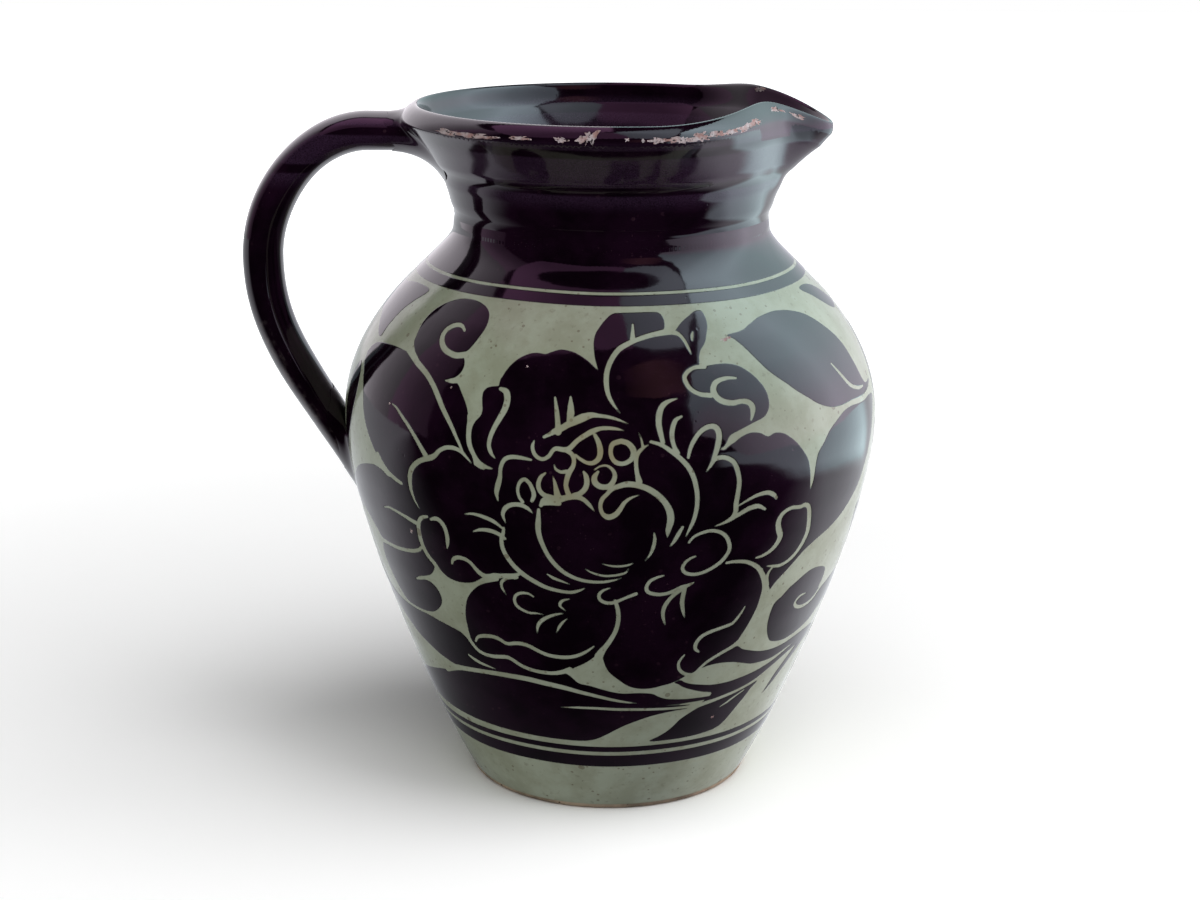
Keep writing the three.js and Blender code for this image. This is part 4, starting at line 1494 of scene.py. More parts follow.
@dataclass
class Luting:
    """Clay smeared from the handle on to the wall round one of its ends.

    Attributes:
        shape: The handle.
        name: Name of the piece.
        at_top: Whether it is the end at the rim.
        up_handle: Reach along the handle: under, at the sides and over it.
        up_wall: Reach along the wall: under, at the sides and over the handle.
    """

    shape: HandleShape
    name: str
    at_top: bool
    up_handle: Triple
    up_wall: Triple
    sides: int = 96
    steps: int = 16
    seat: float = 0.32

    def build(self) -> Thing:
        """Makes the fillet, tangent to the handle at one edge and to the wall at the other.

        Returns:
            The fillet.
        """
        turns = np.linspace(0, 2 * np.pi, self.sides, endpoint=False)
        rows = np.stack([self._column(float(turn)) for turn in turns], axis=1)
        faces = tube_faces(self.steps, self.sides)[:, ::-1 if self.at_top else 1]
        wear = np.repeat(np.linspace(0, 1, self.steps + 1), self.sides)
        return make_mesh(self.name, rows.reshape(-1, 3) * MM, faces, {"wear": wear})

    @staticmethod
    def _reach(sizes: Triple, turn: float, seed: float) -> float:
        """Reach for one direction round the handle, with a hand's unevenness.

        Args:
            sizes: Reach under, beside and over the handle.
            turn: Angle round the handle.
            seed: Number that the unevenness comes from.

        Returns:
            The reach.
        """
        under, side, over = sizes
        lift = math.cos(turn)
        plain = side + (over - side) * max(lift, 0) ** 1.5 + (under - side) * max(-lift, 0) ** 1.5
        return plain * (1 + 0.12 * math.sin(3 * turn + seed) + 0.08 * math.sin(7 * turn + 2 * seed))

    def _column(self, turn: float) -> Array:
        """One curve of the fillet, from the handle down to the wall.

        Args:
            turn: Angle round the handle.

        Returns:
            The curve's points.
        """
        foot = self.shape.meets_wall(turn, self.at_top, 0.0)
        reach = self._reach(self.up_handle, turn, 1.0)
        angle = np.array([turn])
        start = foot + (reach if self.at_top else -reach)
        on_handle = self.shape.surface(np.array([start]), angle, -0.25)[0]
        corner = self.shape.surface(np.array([foot]), angle, -0.05)[0]
        wall = self._on_wall(corner, self._reach(self.up_wall, turn, 2.3), turn)
        limit = self.shape.pot.outer_radius(np.array([min(corner[2], 189.9)]))[0] - 0.1
        scale = limit / math.hypot(corner[0], corner[1])
        sunk = (corner[0] * scale, corner[1] * scale, corner[2])
        return bezier([tuple(on_handle), sunk, wall], self.steps + 1)

    def _on_wall(self, corner: Array, reach: float, turn: float) -> Triple:
        """Where the fillet's toe lies on the wall.

        Args:
            corner: Where the handle meets the wall.
            reach: How far from there the toe is.
            turn: Angle round the handle.

        Returns:
            The toe's X, Y and Z.
        """
        rise = reach * (math.cos(turn) if self.at_top else math.cos(turn) * 0.85)
        run = self.shape.pot.outside
        crest = run.crest
        along = float(np.interp(corner[2], run.points[:crest, 1], run.length[:crest])) + rise
        along = min(along, float(run.length[crest]) - 0.3)
        radius, level, out, up = run.at(np.array([along]))[:, 0].tolist()
        angle = math.atan2(corner[1], -corner[0]) + reach * math.sin(turn) / radius
        radius -= self.seat * out
        return (-radius * math.cos(angle), radius * math.sin(angle), level - self.seat * up)


def linear(colour: Triple) -> tuple[float, float, float, float]:
    """Turns a picture's colour into light.

    Args:
        colour: Red, green and blue as a picture has them, from 0 to 255.

    Returns:
        The colour as the shader wants it.
    """
    shares = [part / 255 for part in colour]
    return (*(
        share / 12.92 if share <= 0.04045 else ((share + 0.055) / 1.055) ** 2.4
        for share in shares
    ), 1.0)


class Tree:
    """Short way of writing shader nodes and their links; a socket may also be a plain value."""

    def __init__(self, tree: NodeTree) -> None:
        """Takes the node tree to write in; where is the place that textures read."""
        self.tree = tree
        self.where: Socket | None = None

    def node(self, kind: str, **settings: object) -> Node:
        """Adds a node.

        Args:
            kind: The node's kind.
            settings: Its own properties.

        Returns:
            The node.
        """
        made = self.tree.nodes.new("ShaderNode" + kind)
        for name, value in settings.items():
            setattr(made, name, value)
        return made

    def plug(self, node: Node, inputs: dict[str | int, Value]) -> Node:
        """Links sockets to a node's inputs, or sets their values.

        Args:
            node: The node.
            inputs: What goes into each input.

        Returns:
            The node.
        """
        for name, value in inputs.items():
            if isinstance(value, Socket):
                self.tree.links.new(value, node.inputs[name])
            else:
                node.inputs[name].default_value = value
        return node

    def feed(self, node: Node, **inputs: Value) -> Sockets:
        """Plugs inputs that are named with _ for spaces, and gives the node's outputs."""
        self.plug(node, {name.replace("_", " "): value for name, value in inputs.items()})
        return node.outputs

    def noise(self, scale: float, detail: float, **inputs: float) -> Socket:
        """Noise texture's factor."""
        made = self.node("TexNoise")
        return self.feed(made, Vector=self.where, Scale=scale, Detail=detail, **inputs)["Fac"]

    def maths(self, operation: str, first: Value, second: Value = 0.0) -> Socket:
        """Result of a sum on one or two values."""
        made = self.node("Math", operation=operation)
        return self.plug(made, {0: first, 1: second}).outputs[0]

    def times(self, first: Value, second: Value) -> Socket:
        """Product of two values."""
        return self.maths("MULTIPLY", first, second)

    def plus(self, first: Value, second: Value) -> Socket:
        """Sum of two values."""
        return self.maths("ADD", first, second)

    def ramp(self, value: Value, low: float, high: float) -> Socket:
        """Value eased from 0 at low to 1 at high."""
        made = self.node("MapRange", interpolation_type="SMOOTHSTEP")
        return self.feed(made, Value=value, From_Min=low, From_Max=high)["Result"]

    def number(self, share: Value, first: Value, second: Value) -> Socket:
        """Mix of two values."""
        made = self.node("Mix", data_type="FLOAT")
        return self.plug(made, {0: share, 2: first, 3: second}).outputs[0]

    def mix(self, share: Value, first: Value, second: Value) -> Socket:
        """Mix of two colours."""
        made = self.node("Mix", data_type="RGBA")
        return self.plug(made, {0: share, 6: first, 7: second}).outputs[2]

    def attribute(self, name: str, part: str = "Fac") -> Socket:
        """Number or colour that the mesh carries."""
        return self.node("Attribute", attribute_name=name).outputs[part]

    def bump(self, height: Value, strength: float, distance: float) -> Socket:
        """Normal of a surface with small heights."""
        made = self.node("Bump")
        return self.feed(made, Height=height, Strength=strength, Distance=distance)["Normal"]


class GroupKind(Enum):
    """Effects that several finishes share."""

    GLAZE_RIPPLE = "glaze_ripple"
    SPECKLE = "speckle"
    MOTTLE = "mottle"


class Effects:
    """Builds each shared effect once and places it where a finish asks for it."""

    def __init__(self) -> None:
        """Builds the groups."""
        self.groups = {
            GroupKind.GLAZE_RIPPLE: self._glaze_ripple(),
            GroupKind.SPECKLE: self._speckle(),
            GroupKind.MOTTLE: self._mottle(),
        }

    def place(self, tree: Tree, kind: GroupKind, **inputs: Value) -> Sockets:
        """Places an effect in a material and gives its outputs."""
        made = tree.node("Group", node_tree=self.groups[kind])
        return tree.feed(made, Vector=tree.where, **inputs)

    @staticmethod
    def _start(
        kind: GroupKind, inputs: dict[str, float | tuple[float, ...]], outputs: dict[str, str],
    ) -> tuple[Tree, Sockets, Node]:
        """New group with its sockets.

        Args:
            kind: The group's effect.
            inputs: Default of each input besides the place; a tuple is a colour.
            outputs: Socket type of each output.

        Returns:
            The tree, the sockets that enter it and its output node.
        """
        group = bpy.data.node_groups.new(kind.value, "ShaderNodeTree")
        face = group.interface
        face.new_socket("Vector", in_out="INPUT", socket_type="NodeSocketVector")
        for label, value in inputs.items():
            socket_type = "NodeSocketColor" if isinstance(value, tuple) else "NodeSocketFloat"
            socket = face.new_socket(label, in_out="INPUT", socket_type=socket_type)
            socket.default_value = value
        for label, socket_type in outputs.items():
            face.new_socket(label, in_out="OUTPUT", socket_type="NodeSocket" + socket_type)
        tree = Tree(group)
        enter = group.nodes.new("NodeGroupInput").outputs
        tree.where = enter["Vector"]
        return tree, enter, group.nodes.new("NodeGroupOutput")

    def _glaze_ripple(self) -> NodeTree:
        """Height of a flowed glaze: slow waves, an orange-peel grain and pinholes."""
        tree, enter, leave = self._start(
            GroupKind.GLAZE_RIPPLE, {"Wave": 0.5, "Grain": 0.2, "Pinholes": 0.3},
            {"Height": "Float"},
        )
        wave = tree.times(tree.noise(90, 2), enter["Wave"])
        grain = tree.times(tree.noise(900, 3), enter["Grain"])
        cells = tree.feed(tree.node("TexVoronoi"), Vector=tree.where, Scale=260.0)
        holes = tree.ramp(cells["Distance"], 0.14, 0.04)
        holes = tree.times(holes, tree.ramp(tree.noise(150, 1), 0.58, 0.66))
        holes = tree.times(holes, enter["Pinholes"])
        tree.feed(leave, Height=tree.maths("SUBTRACT", tree.plus(wave, grain), holes))
        return tree.tree

    def _speckle(self) -> NodeTree:
        """Mask of iron specks in two sizes."""
        tree, enter, leave = self._start(
            GroupKind.SPECKLE, {"Scale": 500.0, "Share": 0.1}, {"Mask": "Float"},
        )
        masks = []
        for scale in (enter["Scale"], tree.times(enter["Scale"], 0.36)):
            cells = tree.feed(tree.node("TexVoronoi"), Vector=tree.where, Scale=scale)
            chosen = tree.feed(tree.node("SeparateColor"), Color=cells["Color"])
            picked = tree.maths("LESS_THAN", chosen["Red"], enter["Share"])
            size = tree.times(chosen["Green"], 0.32)
            masks.append(tree.times(picked, tree.maths("LESS_THAN", cells["Distance"], size)))
        tree.feed(leave, Mask=tree.maths("MAXIMUM", *masks))
        return tree.tree

    def _mottle(self) -> NodeTree:
        """Colour that clouds between two others."""
        tree, enter, leave = self._start(
            GroupKind.MOTTLE,
            {"Scale": 40.0, "First": (0.1, 0.1, 0.1, 1), "Second": (0.2, 0.2, 0.2, 1)},
            {"Color": "Color", "Share": "Float"},
        )
        share = tree.ramp(tree.noise(enter["Scale"], 5.0, Roughness=0.62), 0.36, 0.66)
        tree.feed(leave, Share=share, Color=tree.mix(share, enter["First"], enter["Second"]))
        return tree.tree


class Finish:
    """Base of the jug's finishes: makes a material whose colour clouds between two others."""

    name = ""

    def make(self, effects: Effects) -> Material:
        """Builds the material.

        Args:
            effects: The shared effects.

        Returns:
            The material.
        """
        material = bpy.data.materials.new(self.name)
        material.use_nodes = True
        tree = Tree(material.node_tree)
        tree.where = tree.node("TexCoord").outputs["Object"]
        self.draw(tree, material.node_tree.nodes["Principled BSDF"], effects)
        return material

    def draw(self, tree: Tree, shader: Node, effects: Effects) -> None:
        """Adds the finish's own nodes.

        Args:
            tree: The material's nodes.
            shader: Its Principled BSDF.
            effects: The shared effects.
        """
        raise NotImplementedError


@dataclass(frozen=True)
class AubergineSlip(Finish):
    """Glossy black-brown slip with a breath of purple, and iron grain where it runs thin."""

    name: str = "aubergine_slip"
    deep: Triple = (10, 3, 9)
    thin: Triple = (24, 8, 22)
    grain: Triple = (52, 34, 42)
    edge: Triple = (18, 10, 14)
    # Lighter purple that the band under the lip takes as painted sheen.
    painted_sheen: Triple = (50, 34, 52)
    roughness: float = 0.05
    wear: str = "edge"

    def draw(self, tree: Tree, shader: Node, effects: Effects) -> None:
        """Clouded body colour, brown edges, a painted sheen under the lip, and a rippled glaze."""
        cloud = effects.place(
            tree, GroupKind.MOTTLE, Scale=46.0, First=linear(self.deep), Second=linear(self.thin),
        )
        specks = effects.place(tree, GroupKind.SPECKLE, Scale=1500.0, Share=0.14)["Mask"]
        amount = tree.times(tree.times(specks, cloud["Share"]), 0.6)
        colour = tree.mix(amount, cloud["Color"], linear(self.grain))
        broken = tree.times(tree.noise(420, 3), 1.5)
        share = tree.ramp(tree.times(tree.attribute(self.wear), broken), 0.3, 0.85)
        colour = tree.mix(share, colour, linear(self.edge))
        ripple = effects.place(tree, GroupKind.GLAZE_RIPPLE, Wave=0.8, Grain=0.06, Pinholes=0.35)
        # The band under the lip gets a lighter purple as painted sheen, and a slightly rougher,
        # duller glaze.
        painted_sheen = self._painted_sheen_band(tree)
        rough = tree.plus(tree.times(cloud["Share"], 0.04), self.roughness)
        tree.feed(
            shader,
            Base_Color=tree.mix(tree.times(painted_sheen, 0.75), colour, linear(self.painted_sheen)),
            Roughness=tree.plus(rough, tree.times(painted_sheen, 0.05)),
            Normal=tree.bump(ripple["Height"], 0.35, 0.0002),
            Specular_Tint=(1.0, 0.88, 0.99, 1),
        )

    @staticmethod
    def _painted_sheen_band(tree: Tree) -> Socket:
        """Mask of painted sheen and duller glaze under the lip, broken by two rings' shiny crests.

        Args:
            tree: The material's nodes.

        Returns:
            The mask.
        """
        rise = tree.feed(tree.node("SeparateXYZ"), Vector=tree.where)["Z"]
        sheen_band = tree.times(tree.ramp(rise, 0.166, 0.171), tree.ramp(rise, 0.187, 0.184))
        sheen_band = tree.times(sheen_band, tree.ramp(tree.noise(2400, 2), 0.05, 0.75))
        for crest in (0.1725, 0.1829):
            away = tree.maths("ABSOLUTE", tree.maths("SUBTRACT", rise, crest))
            sheen_band = tree.times(sheen_band, tree.ramp(away, 0.0009, 0.0016))
        return sheen_band


@dataclass(frozen=True)
class CeladonGround(Finish):
    """Scraped stoneware under a grey-green glaze, freckled with iron."""

    name: str = "celadon_ground"
    pale: Triple = (155, 162, 141)
    dull: Triple = (141, 146, 124)
    iron: Triple = (92, 78, 58)
    edge: Triple = (50, 56, 49)
    tea: Triple = (140, 132, 100)
    rust: Triple = (62, 42, 28)
    hearts: tuple[Triple, ...] = ((-0.004, -0.0705, 0.107), (-0.004, 0.0705, 0.107))

    def draw(self, tree: Tree, shader: Node, effects: Effects) -> None:
        """Clouded glaze, iron freckles and a stained line along the slip."""
        cloud = effects.place(
            tree, GroupKind.MOTTLE, Scale=95.0, First=linear(self.pale), Second=linear(self.dull),
        )
        specks = effects.place(tree, GroupKind.SPECKLE, Scale=720.0, Share=0.16)["Mask"]
        soft = tree.times(tree.ramp(tree.noise(640, 3), 0.6, 0.74), 0.28)
        amount = tree.plus(tree.times(specks, 0.55), soft)
        colour = tree.mix(amount, cloud["Color"], linear(self.iron))
        warm = self._heart(tree)
        colour = tree.mix(tree.times(warm, 0.75), colour, linear(self.tea))
        stained = tree.times(tree.ramp(tree.attribute("edge"), 0.0, 1.0), 0.9)
        line = tree.mix(warm, linear(self.edge), linear(self.rust))
        ripple = effects.place(tree, GroupKind.GLAZE_RIPPLE, Wave=1.2, Grain=0.2, Pinholes=0.5)
        tree.feed(
            shader,
            Base_Color=tree.mix(stained, colour, line),
            Roughness=tree.plus(tree.times(cloud["Share"], 0.12), 0.1),
            Normal=tree.bump(ripple["Height"], 0.4, 0.0003),
        )

    def _heart(self, tree: Tree) -> Socket:
        """Mask of the tea-coloured patch round the stamens of both flowers.

        Args:
            tree: The material's nodes.

        Returns:
            The mask.
        """
        patch = 0.0
        for spot in self.hearts:
            away = tree.node("VectorMath", operation="DISTANCE")
            away = tree.plug(away, {0: tree.where, 1: spot}).outputs["Value"]
            patch = tree.plus(patch, tree.ramp(away, 0.02, 0.005))
        return tree.times(patch, tree.ramp(tree.noise(120, 3), 0.3, 0.65))


@dataclass(frozen=True)
class BrokenClay(Finish):
    """Bare body clay where the rim is chipped."""

    name: str = "broken_clay"
    pale: Triple = (186, 176, 176)
    dull: Triple = (158, 124, 118)
    slip: Triple = (28, 16, 20)

    def draw(self, tree: Tree, shader: Node, effects: Effects) -> None:
        """Grainy, dry and stained, with crumbs of slip left on it."""
        cloud = effects.place(
            tree, GroupKind.MOTTLE, Scale=420.0, First=linear(self.pale), Second=linear(self.dull),
        )
        crumbs = tree.ramp(tree.noise(1250, 3, Roughness=0.6), 0.58, 0.62)
        tree.feed(
            shader,
            Base_Color=tree.mix(crumbs, cloud["Color"], linear(self.slip)),
            Roughness=tree.plus(tree.times(cloud["Share"], 0.15), 0.6),
            Normal=tree.bump(tree.noise(1400, 4), 0.8, 0.0004),
        )


@dataclass(frozen=True)
class TurnedFoot(Finish):
    """Unglazed foot with the lines of the turning tool."""

    name: str = "turned_foot"
    pale: Triple = (168, 150, 126)
    burnt: Triple = (98, 87, 73)
    iron: Triple = (70, 52, 40)

    def draw(self, tree: Tree, shader: Node, effects: Effects) -> None:
        """Toasted stoneware, with rings round the jug's axis."""
        cloud = effects.place(
            tree, GroupKind.MOTTLE, Scale=60.0, First=linear(self.pale), Second=linear(self.burnt),
        )
        rings = tree.node("TexWave", wave_type="RINGS", rings_direction="Z")
        rings = tree.feed(rings, Vector=tree.where, Scale=330.0, Distortion=0.8, Detail=2.0)
        specks = effects.place(tree, GroupKind.SPECKLE, Scale=900.0, Share=0.2)["Mask"]
        height = tree.plus(rings["Fac"], tree.times(tree.noise(1600, 3), 0.6))
        tree.feed(
            shader,
            Base_Color=tree.mix(specks, cloud["Color"], linear(self.iron)),
            Roughness=tree.plus(tree.times(cloud["Share"], 0.1), 0.78),
            Normal=tree.bump(height, 0.7, 0.0003),
        )


def towards(azimuth: float, elevation: float) -> Vector:
    """Direction from the jug; azimuth 0 is the camera's side and grows towards +X."""
    turn, rise = math.radians(azimuth), math.radians(elevation)
    level = math.cos(rise)
    return Vector((math.sin(turn) * level, -math.cos(turn) * level, math.sin(rise)))


@dataclass(frozen=True)
class SoftBox:
    """A flat lamp that looks at the jug and isn't seen in its glaze."""

    name: str
    azimuth: float
    elevation: float
    distance: float
    size: float
    light: float
    tint: Triple = (1.0, 1.0, 1.0)

    def build(self, target: Vector) -> Thing:
        """Adds the lamp; its light is what a white card at the jug would send back.

        Args:
            target: The spot that the lamp looks at.

        Returns:
            The lamp.
        """
        lamp = bpy.data.lights.new(self.name, "AREA")
        lamp.shape = "SQUARE"
        lamp.size = self.size
        lamp.energy = self.light * math.pi**2 * self.distance**2
        lamp.color = self.tint
        thing = link_thing(self.name, lamp)
        away = towards(self.azimuth, self.elevation)
        thing.location = target + away * self.distance
        thing.rotation_euler = (-away).to_track_quat("-Z", "Y").to_euler()
        thing.visible_camera = False
        thing.visible_glossy = False
        return thing


@dataclass(frozen=True)
class Reflector:
    """A bright card of the room, seen only in the glaze.

    Attributes:
        name: The card's name.
        columns: Azimuth, lowest and highest elevation, and brightness of each column.
        low_tint: Colour of its lower part.
        high_tint: Colour of its upper part.
        low_share: Brightness of its lower edge, as a share of the upper one's.
        distance: How far it stands from the jug in metres.
        rows: Number of points up each column.
    """

    name: str
    columns: tuple[tuple[float, float, float, float], ...]
    low_tint: Triple = (1.0, 1.0, 1.0)
    high_tint: Triple = (1.0, 1.0, 1.0)
    low_share: float = 1.0
    distance: float = 2.4
    rows: int = 12

    def build(self, target: Vector, material: Material) -> Thing:
        """Adds the card as a curved grid with a brightness at each point.

        Args:
            target: The spot that the card stands round.
            material: The cards' light.

        Returns:
            The card.
        """
        shape = np.array(self.columns)
        turns = np.arange(shape[0, 0], shape[-1, 0] + 1.5, 3.0)
        turns[-1] = shape[-1, 0]
        low, high, glow = (np.interp(turns, shape[:, 0], shape[:, part]) for part in (1, 2, 3))
        places = []
        colours = []
        for turn, bottom, top, strength in zip(turns, low, high, glow):
            for share in np.linspace(0, 1, self.rows):
                part = float(np.interp(share, (0.3, 0.62), (0, 1)))
                tint = np.array(self.low_tint) * (1 - part) + np.array(self.high_tint) * part
                aim = towards(float(turn), float(bottom + (top - bottom) * share))
                places.append(target + aim * self.distance)
                dimmed = strength * (self.low_share + (1 - self.low_share) * share)
                colours.extend((*(tint * dimmed), 1.0))
        faces = [
            (first, first + 1, first + self.rows + 1, first + self.rows)
            for column in range(len(turns) - 1)
            for first in range(column * self.rows, (column + 1) * self.rows - 1)
        ]
        mesh = bpy.data.meshes.new(self.name)
        mesh.from_pydata(places, [], faces)
        mesh.attributes.new("glow", "FLOAT_COLOR", "POINT").data.foreach_set("color", colours)
        mesh.materials.append(material)
        thing = link_thing(self.name, mesh)
        for kind in ("camera", "diffuse", "transmission", "volume_scatter", "shadow"):
            setattr(thing, "visible_" + kind, False)
        return thing


@dataclass(frozen=True)
class Studio:
    """Pale floor, soft lamps, the room that the glaze shows, and the photograph's camera."""

    lamps: tuple[SoftBox, ...] = (
        SoftBox("high_softbox", 45, 50, 1.6, 0.75, 0.48),
        SoftBox("key_softbox", 35, 2, 1.8, 0.8, 0.3, (1.0, 1.0, 1.15)),
        SoftBox("right_softbox", 112, -15, 1.8, 0.7, 1.15, (1.06, 1.0, 1.08)),
        SoftBox("left_softbox", -60, -4, 1.8, 0.9, 0.5),
        SoftBox("back_softbox", 160, 40, 1.8, 1.1, 0.5),
    )
    floor_lamps: tuple[SoftBox, ...] = (
        SoftBox("floor_key", 71, 55, 1.9, 1.7, 0.78),
        SoftBox("floor_fill", 8, 62, 2.2, 1.8, 0.62),
        SoftBox("floor_left", -80, 40, 2.0, 1.4, 0.12),
    )
    cards: tuple[Reflector, ...] = (
        Reflector("right_card", (
            (35, 12, 30, 1.4), (45, 6, 48, 1.6), (53, -2, 50, 1.8), (62, -9, 56, 2.3),
            (74, -16, 60, 2.8), (85, -20, 64, 3.8), (97, -20, 64, 4.3), (109, -20, 62, 4.7),
            (121, -20, 58, 3.4), (133, -20, 52, 2.5), (146, -20, 46, 1.7), (160, -20, 45, 1.4),
            (180, -20, 45, 1.4),
        ), (1.0, 1.0, 1.1), (0.74, 1.0, 1.02), 0.5, 1.2),
        Reflector("overhead_right", (
            (17, 66, 88, 0.9), (30, 61, 88, 1.05), (55, 58, 88, 1.25), (70, 62, 88, 1.5),
            (100, 66, 88, 1.7), (140, 66, 88, 1.0),
        ), (0.8, 1.0, 1.04), (0.8, 1.0, 1.04), 1.0, 2.0),
        Reflector("overhead_left", (
            (-180, 54, 88, 0.5), (-110, 56, 88, 0.4), (-63, 50, 88, 0.2), (-43, 58, 88, 0.2),
            (-25, 62, 88, 0.22), (17, 64, 88, 0.25),
        ), (2.0, 1.0, 1.8), (2.0, 1.0, 1.8), 1.0, 2.0),
        Reflector("left_wall", (
            (-180, -45, 50, 1.4), (-132, -42, 50, 1.3), (-119, -40, 51, 0.8),
            (-106, -42, 52, 0.45),
        ), (1.05, 1.0, 1.06), (1.05, 1.0, 1.06)),
        Reflector("left_corner", (
            (-106, -42, 52, 0.42), (-92, -45, 55, 0.2), (-81, -48, 58, 0.11),
        ), (1.5, 1.0, 1.4), (1.5, 1.0, 1.4)),
        Reflector("warm_card", (
            (8, 41, 54, 0.02), (16, 39, 57, 0.09), (24, 38, 58, 0.15), (30, 38, 58, 0.15),
            (38, 39, 57, 0.11), (46, 42, 54, 0.03),
        ), (2.2, 1.0, 0.95), (2.2, 1.0, 0.95)),
    )
    ambient: float = 0.1
    centre: Triple = (0, 0, 0.1)
    floor_reach: float = 3.0
    camera_place: Triple = (0, -0.6106, 0.2583)
    camera_pitch: float = 0.2656
    camera_roll: float = 0.007
    lens_length: float = 67.15
    lens_shift: float = -0.0082

    def build(self, pieces: list[Thing]) -> None:
        """Adds everything that isn't part of the jug.

        Args:
            pieces: The jug's pieces, which the jug's own lamps light.
        """
        self._world()
        target = Vector(self.centre)
        floor = self._floor()
        for lamps, lit in ((self.lamps, pieces), (self.floor_lamps, [floor])):
            group = bpy.data.collections.new("lit_by_" + lamps[0].name)
            for thing in lit:
                group.objects.link(thing)
            for lamp in lamps:
                linking = lamp.build(target).light_linking
                linking.receiver_collection = group
                if lit is pieces:
                    linking.blocker_collection = group
                LOG.info("lamp %s", lamp.name)
        glow = self._glow()
        for card in self.cards:
            card.build(target, glow)
            LOG.info("card %s", card.name)
        self._camera()
        bpy.context.scene.view_settings.view_transform = "Standard"

    def _world(self) -> None:
        """White to the camera, dark to the glaze, dim and even to the rest."""
        world = bpy.data.worlds.new("studio")
        bpy.context.scene.world = world
        world.use_nodes = True
        tree = Tree(world.node_tree)
        seen = tree.node("LightPath").outputs
        plain = tree.number(seen["Is Glossy Ray"], self.ambient, 0.0)
        strength = tree.number(seen["Is Camera Ray"], plain, 1.0)
        tree.feed(tree.tree.nodes["Background"], Color=(1, 1, 1, 1), Strength=strength)

    @staticmethod
    def _glow() -> Material:
        """Light of the cards."""
        material = bpy.data.materials.new("card_glow")
        material.use_nodes = True
        tree = Tree(material.node_tree)
        nodes = tree.tree.nodes
        nodes.remove(nodes["Principled BSDF"])
        colour = tree.attribute("glow", "Color")
        glow = tree.feed(tree.node("Emission"), Color=colour, Strength=1.0)["Emission"]
        tree.feed(nodes["Material Output"], Surface=glow)
        material.cycles.emission_sampling = "NONE"
        return material

    def _floor(self) -> Thing:
        """Wide flat floor."""
        reach = self.floor_reach
        mesh = bpy.data.meshes.new("floor")
        corners = [(-reach, -reach, 0), (reach, -reach, 0), (reach, reach, 0), (-reach, reach, 0)]
        mesh.from_pydata(corners, [], [(0, 1, 2, 3)])
        mesh.materials.append(self._paper())
        return link_thing("floor", mesh)

    @staticmethod
    def _room(tree: Tree) -> tuple[Socket, Socket, Socket]:
        """Floor as the glaze shows it: dark near the camera and the jug, with a teal strip on the
        right.

        Args:
            tree: The floor material's nodes.

        Returns:
            Its brightness, how much of that is the strip's, and the mask of the far floor.
        """
        place = tree.feed(tree.node("SeparateXYZ"), Vector=tree.where)
        depth = place["Y"]
        turn = tree.maths("ARCTAN2", place["X"], tree.times(depth, -1.0))
        length = tree.node("VectorMath", operation="LENGTH")
        away = tree.feed(length, Vector=tree.where)["Value"]
        # Near the jug the left glow fades out: a painted shadow of the jug in the reflected floor.
        left = tree.times(tree.ramp(depth, -0.08, 0.09), tree.ramp(away, 0.0, 0.14))
        left = tree.times(left, 0.85)
        right = tree.times(tree.ramp(depth, -0.085, 0.045), 1.1)
        side = tree.ramp(turn, 0.8, 1.4)
        past = tree.maths("SUBTRACT", away, tree.number(side, 0.62, 0.33))
        strip = tree.times(tree.ramp(turn, 0.7, 0.85), tree.ramp(turn, 2.45, 2.25))
        strip = tree.times(strip, tree.ramp(past, -0.05, 0.05))
        strip = tree.times(strip, tree.number(side, 1.1, 1.6))
        halves = tree.number(tree.ramp(place["X"], -0.06, 0.06), left, right)
        return tree.plus(halves, strip), strip, tree.ramp(away, 0.2, 0.9)

    def _paper(self) -> Material:
        """White paper that keeps the jug's shadow; its near side is dark in the glaze."""
        material = bpy.data.materials.new("floor_paper")
        material.use_nodes = True
        tree = Tree(material.node_tree)
        tree.where = tree.node("TexCoord").outputs["Object"]
        room, strip, far = self._room(tree)
        seen = tree.node("LightPath").outputs
        glossy = tree.maths("MAXIMUM", seen["Is Glossy Ray"], seen["Is Transmission Ray"])
        shine = tree.plus(tree.times(seen["Is Camera Ray"], far), tree.times(glossy, room))
        tint = tree.mix(strip, (0.93, 0.96, 1.0, 1), (0.8, 1.0, 1.04, 1))
        white = tree.number(seen["Is Camera Ray"], tree.number(glossy, 0.065, 0.0), 0.98)
        colour = tree.feed(tree.node("CombineColor"), Red=white, Green=white, Blue=white)
        tree.feed(
            tree.tree.nodes["Principled BSDF"],
            Base_Color=colour["Color"],
            Roughness=0.9,
            Emission_Color=tree.mix(glossy, (1, 1, 1, 1), tint),
            Emission_Strength=shine,
            Specular_IOR_Level=0.05,
        )
        return material

    def _camera(self) -> None:
        """Camera at the photograph's place, angle and lens."""
        lens = bpy.data.cameras.new("photo_camera")
        lens.sensor_width = 36.0
        lens.lens = self.lens_length
        lens.shift_x = self.lens_shift
        lens.clip_start = 0.05
        thing = link_thing("photo_camera", lens)
        aim = Matrix.Rotation(math.radians(90) - self.camera_pitch, 4, "X")
        aim = aim @ Matrix.Rotation(self.camera_roll, 4, "Z")
        thing.matrix_world = Matrix.Translation(self.camera_place) @ aim
        bpy.context.scene.camera = thing


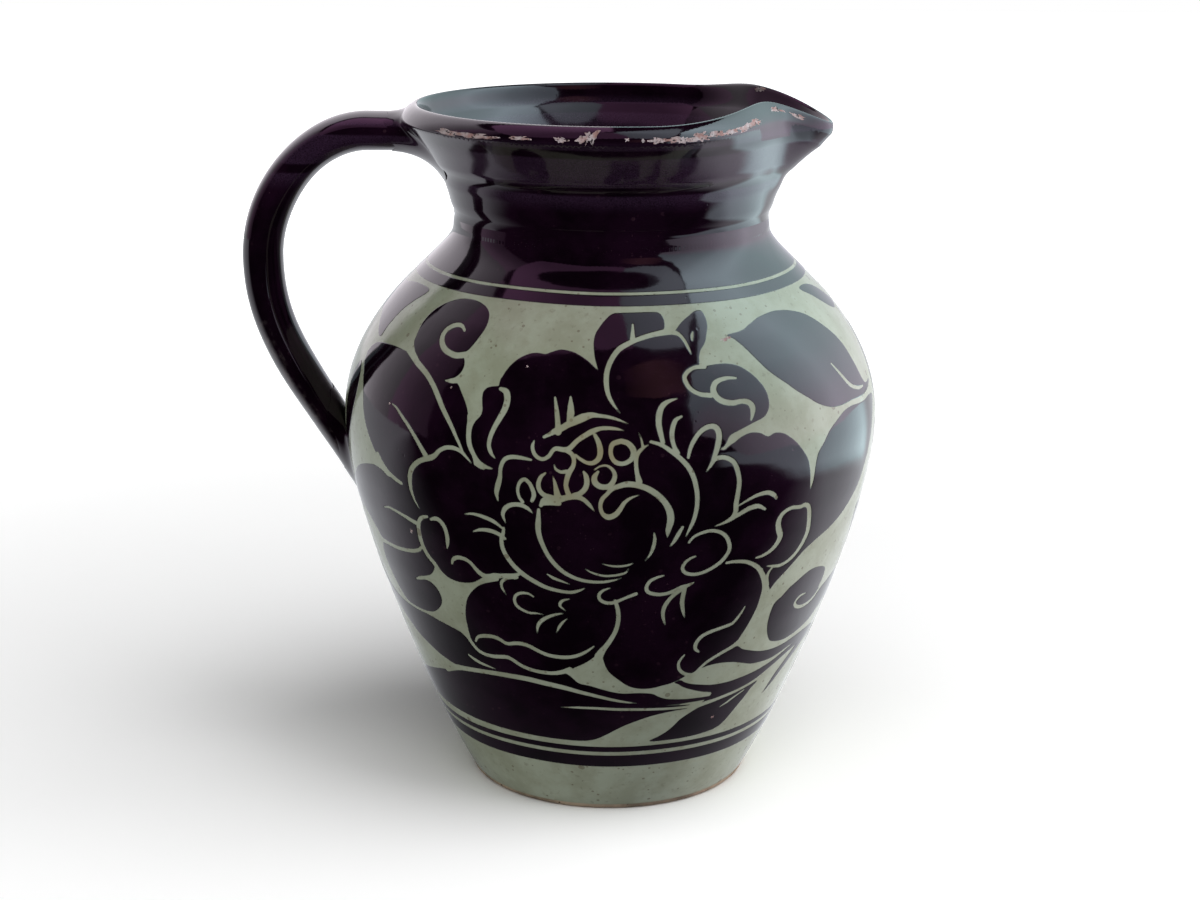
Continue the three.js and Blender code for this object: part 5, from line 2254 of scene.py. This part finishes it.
RIM_CHIPS: tuple[Chip, ...] = (
    Chip(-62, 207.2, 6.0, 0.75), Chip(-48, 207.2, 8.4, 0.7), Chip(-31, 207.6, 4.4, 0.45),
    Chip(-16.8, 207.8, 2.0, 0.8), Chip(-7.4, 208.6, 3.2, 1.9, 12), Chip(5, 208.0, 0.7, 0.5),
    Chip(10, 207.8, 0.6, 0.4), Chip(16, 207.7, 4.2, 0.8), Chip(23.5, 207.7, 3.4, 0.9),
    Chip(30, 207.9, 4.0, 1.1), Chip(37.5, 207.8, 4.4, 0.8), Chip(45, 207.6, 5.0, 0.6),
    Chip(53, 207.6, 5.0, 0.7), Chip(62, 207.8, 4.5, 0.7), Chip(86, 209.6, 4.0, 0.7),
    Chip(95.5, 209.0, 2.6, 0.7), Chip(157.6, 214.2, 2.8, 0.7), Chip(205, 207.6, 4.0, 0.5),
    Chip(236, 207.4, 6.0, 0.6), Chip(268, 208.0, 2.0, 0.6), Chip(306, 207.5, 3.0, 0.5),
)
GLAZE_CHIPS: tuple[Chip, ...] = (
    Chip(37, 146.2, 1.7, 0.45, 12), Chip(-61, 89, 0.7, 0.5, 30), Chip(-24, 139, 0.35, 0.3),
    Chip(-46, 131, 0.35, 0.3), Chip(-68, 123, 0.4, 0.3), Chip(42, 32.5, 0.6, 0.4),
    Chip(186, 96, 0.6, 0.5), Chip(251, 121, 0.45, 0.35), Chip(300, 60, 0.5, 0.35),
)


def main() -> None:
    """Builds the jug, its finishes and the studio."""
    logging.basicConfig(level=logging.INFO)
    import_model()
    effects = Effects()
    slip = AubergineSlip().make(effects)
    ground = CeladonGround().make(effects)
    chip = BrokenClay().make(effects)
    foot = TurnedFoot().make(effects)
    worn = AubergineSlip(
        name="worn_slip", wear="wear", edge=(92, 84, 82), roughness=0.06,
    ).make(effects)
    pot = PotShape()
    body = ThrownBody(pot, Carving(), RIM_CHIPS + GLAZE_CHIPS).build()
    for material in (slip, ground, chip, foot):
        body.data.materials.append(material)
    strap = HandleShape(pot)
    handle = PulledHandle(strap).build()
    handle.data.materials.append(worn)
    upper = Luting(strap, "jug_upper_luting", True, (11, 6, 3.5), (10, 6, 2.4)).build()
    lower = Luting(strap, "jug_lower_luting", False, (7, 8, 9), (5, 5.5, 6)).build()
    plain = AubergineSlip(name="luting_slip", wear="none", roughness=0.06).make(effects)
    upper.data.materials.append(plain)
    lower.data.materials.append(plain)
    pieces = (
        (body, "thrown_body", "slip_glazed_body"),
        (handle, "pulled_handle", "slip_glazed_handle"),
        (upper, "upper_luting_clay", "slip_glazed_clay"),
        (lower, "lower_luting_clay", "slip_glazed_clay"),
    )
    for piece, node, slot in pieces:
        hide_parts(node)
        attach(piece, "root")
        LOG.info("%s: %d faces", piece.name, len(piece.data.polygons))
    Studio().build([piece for piece, _, _ in pieces])


if __name__ == "__main__":
    main()
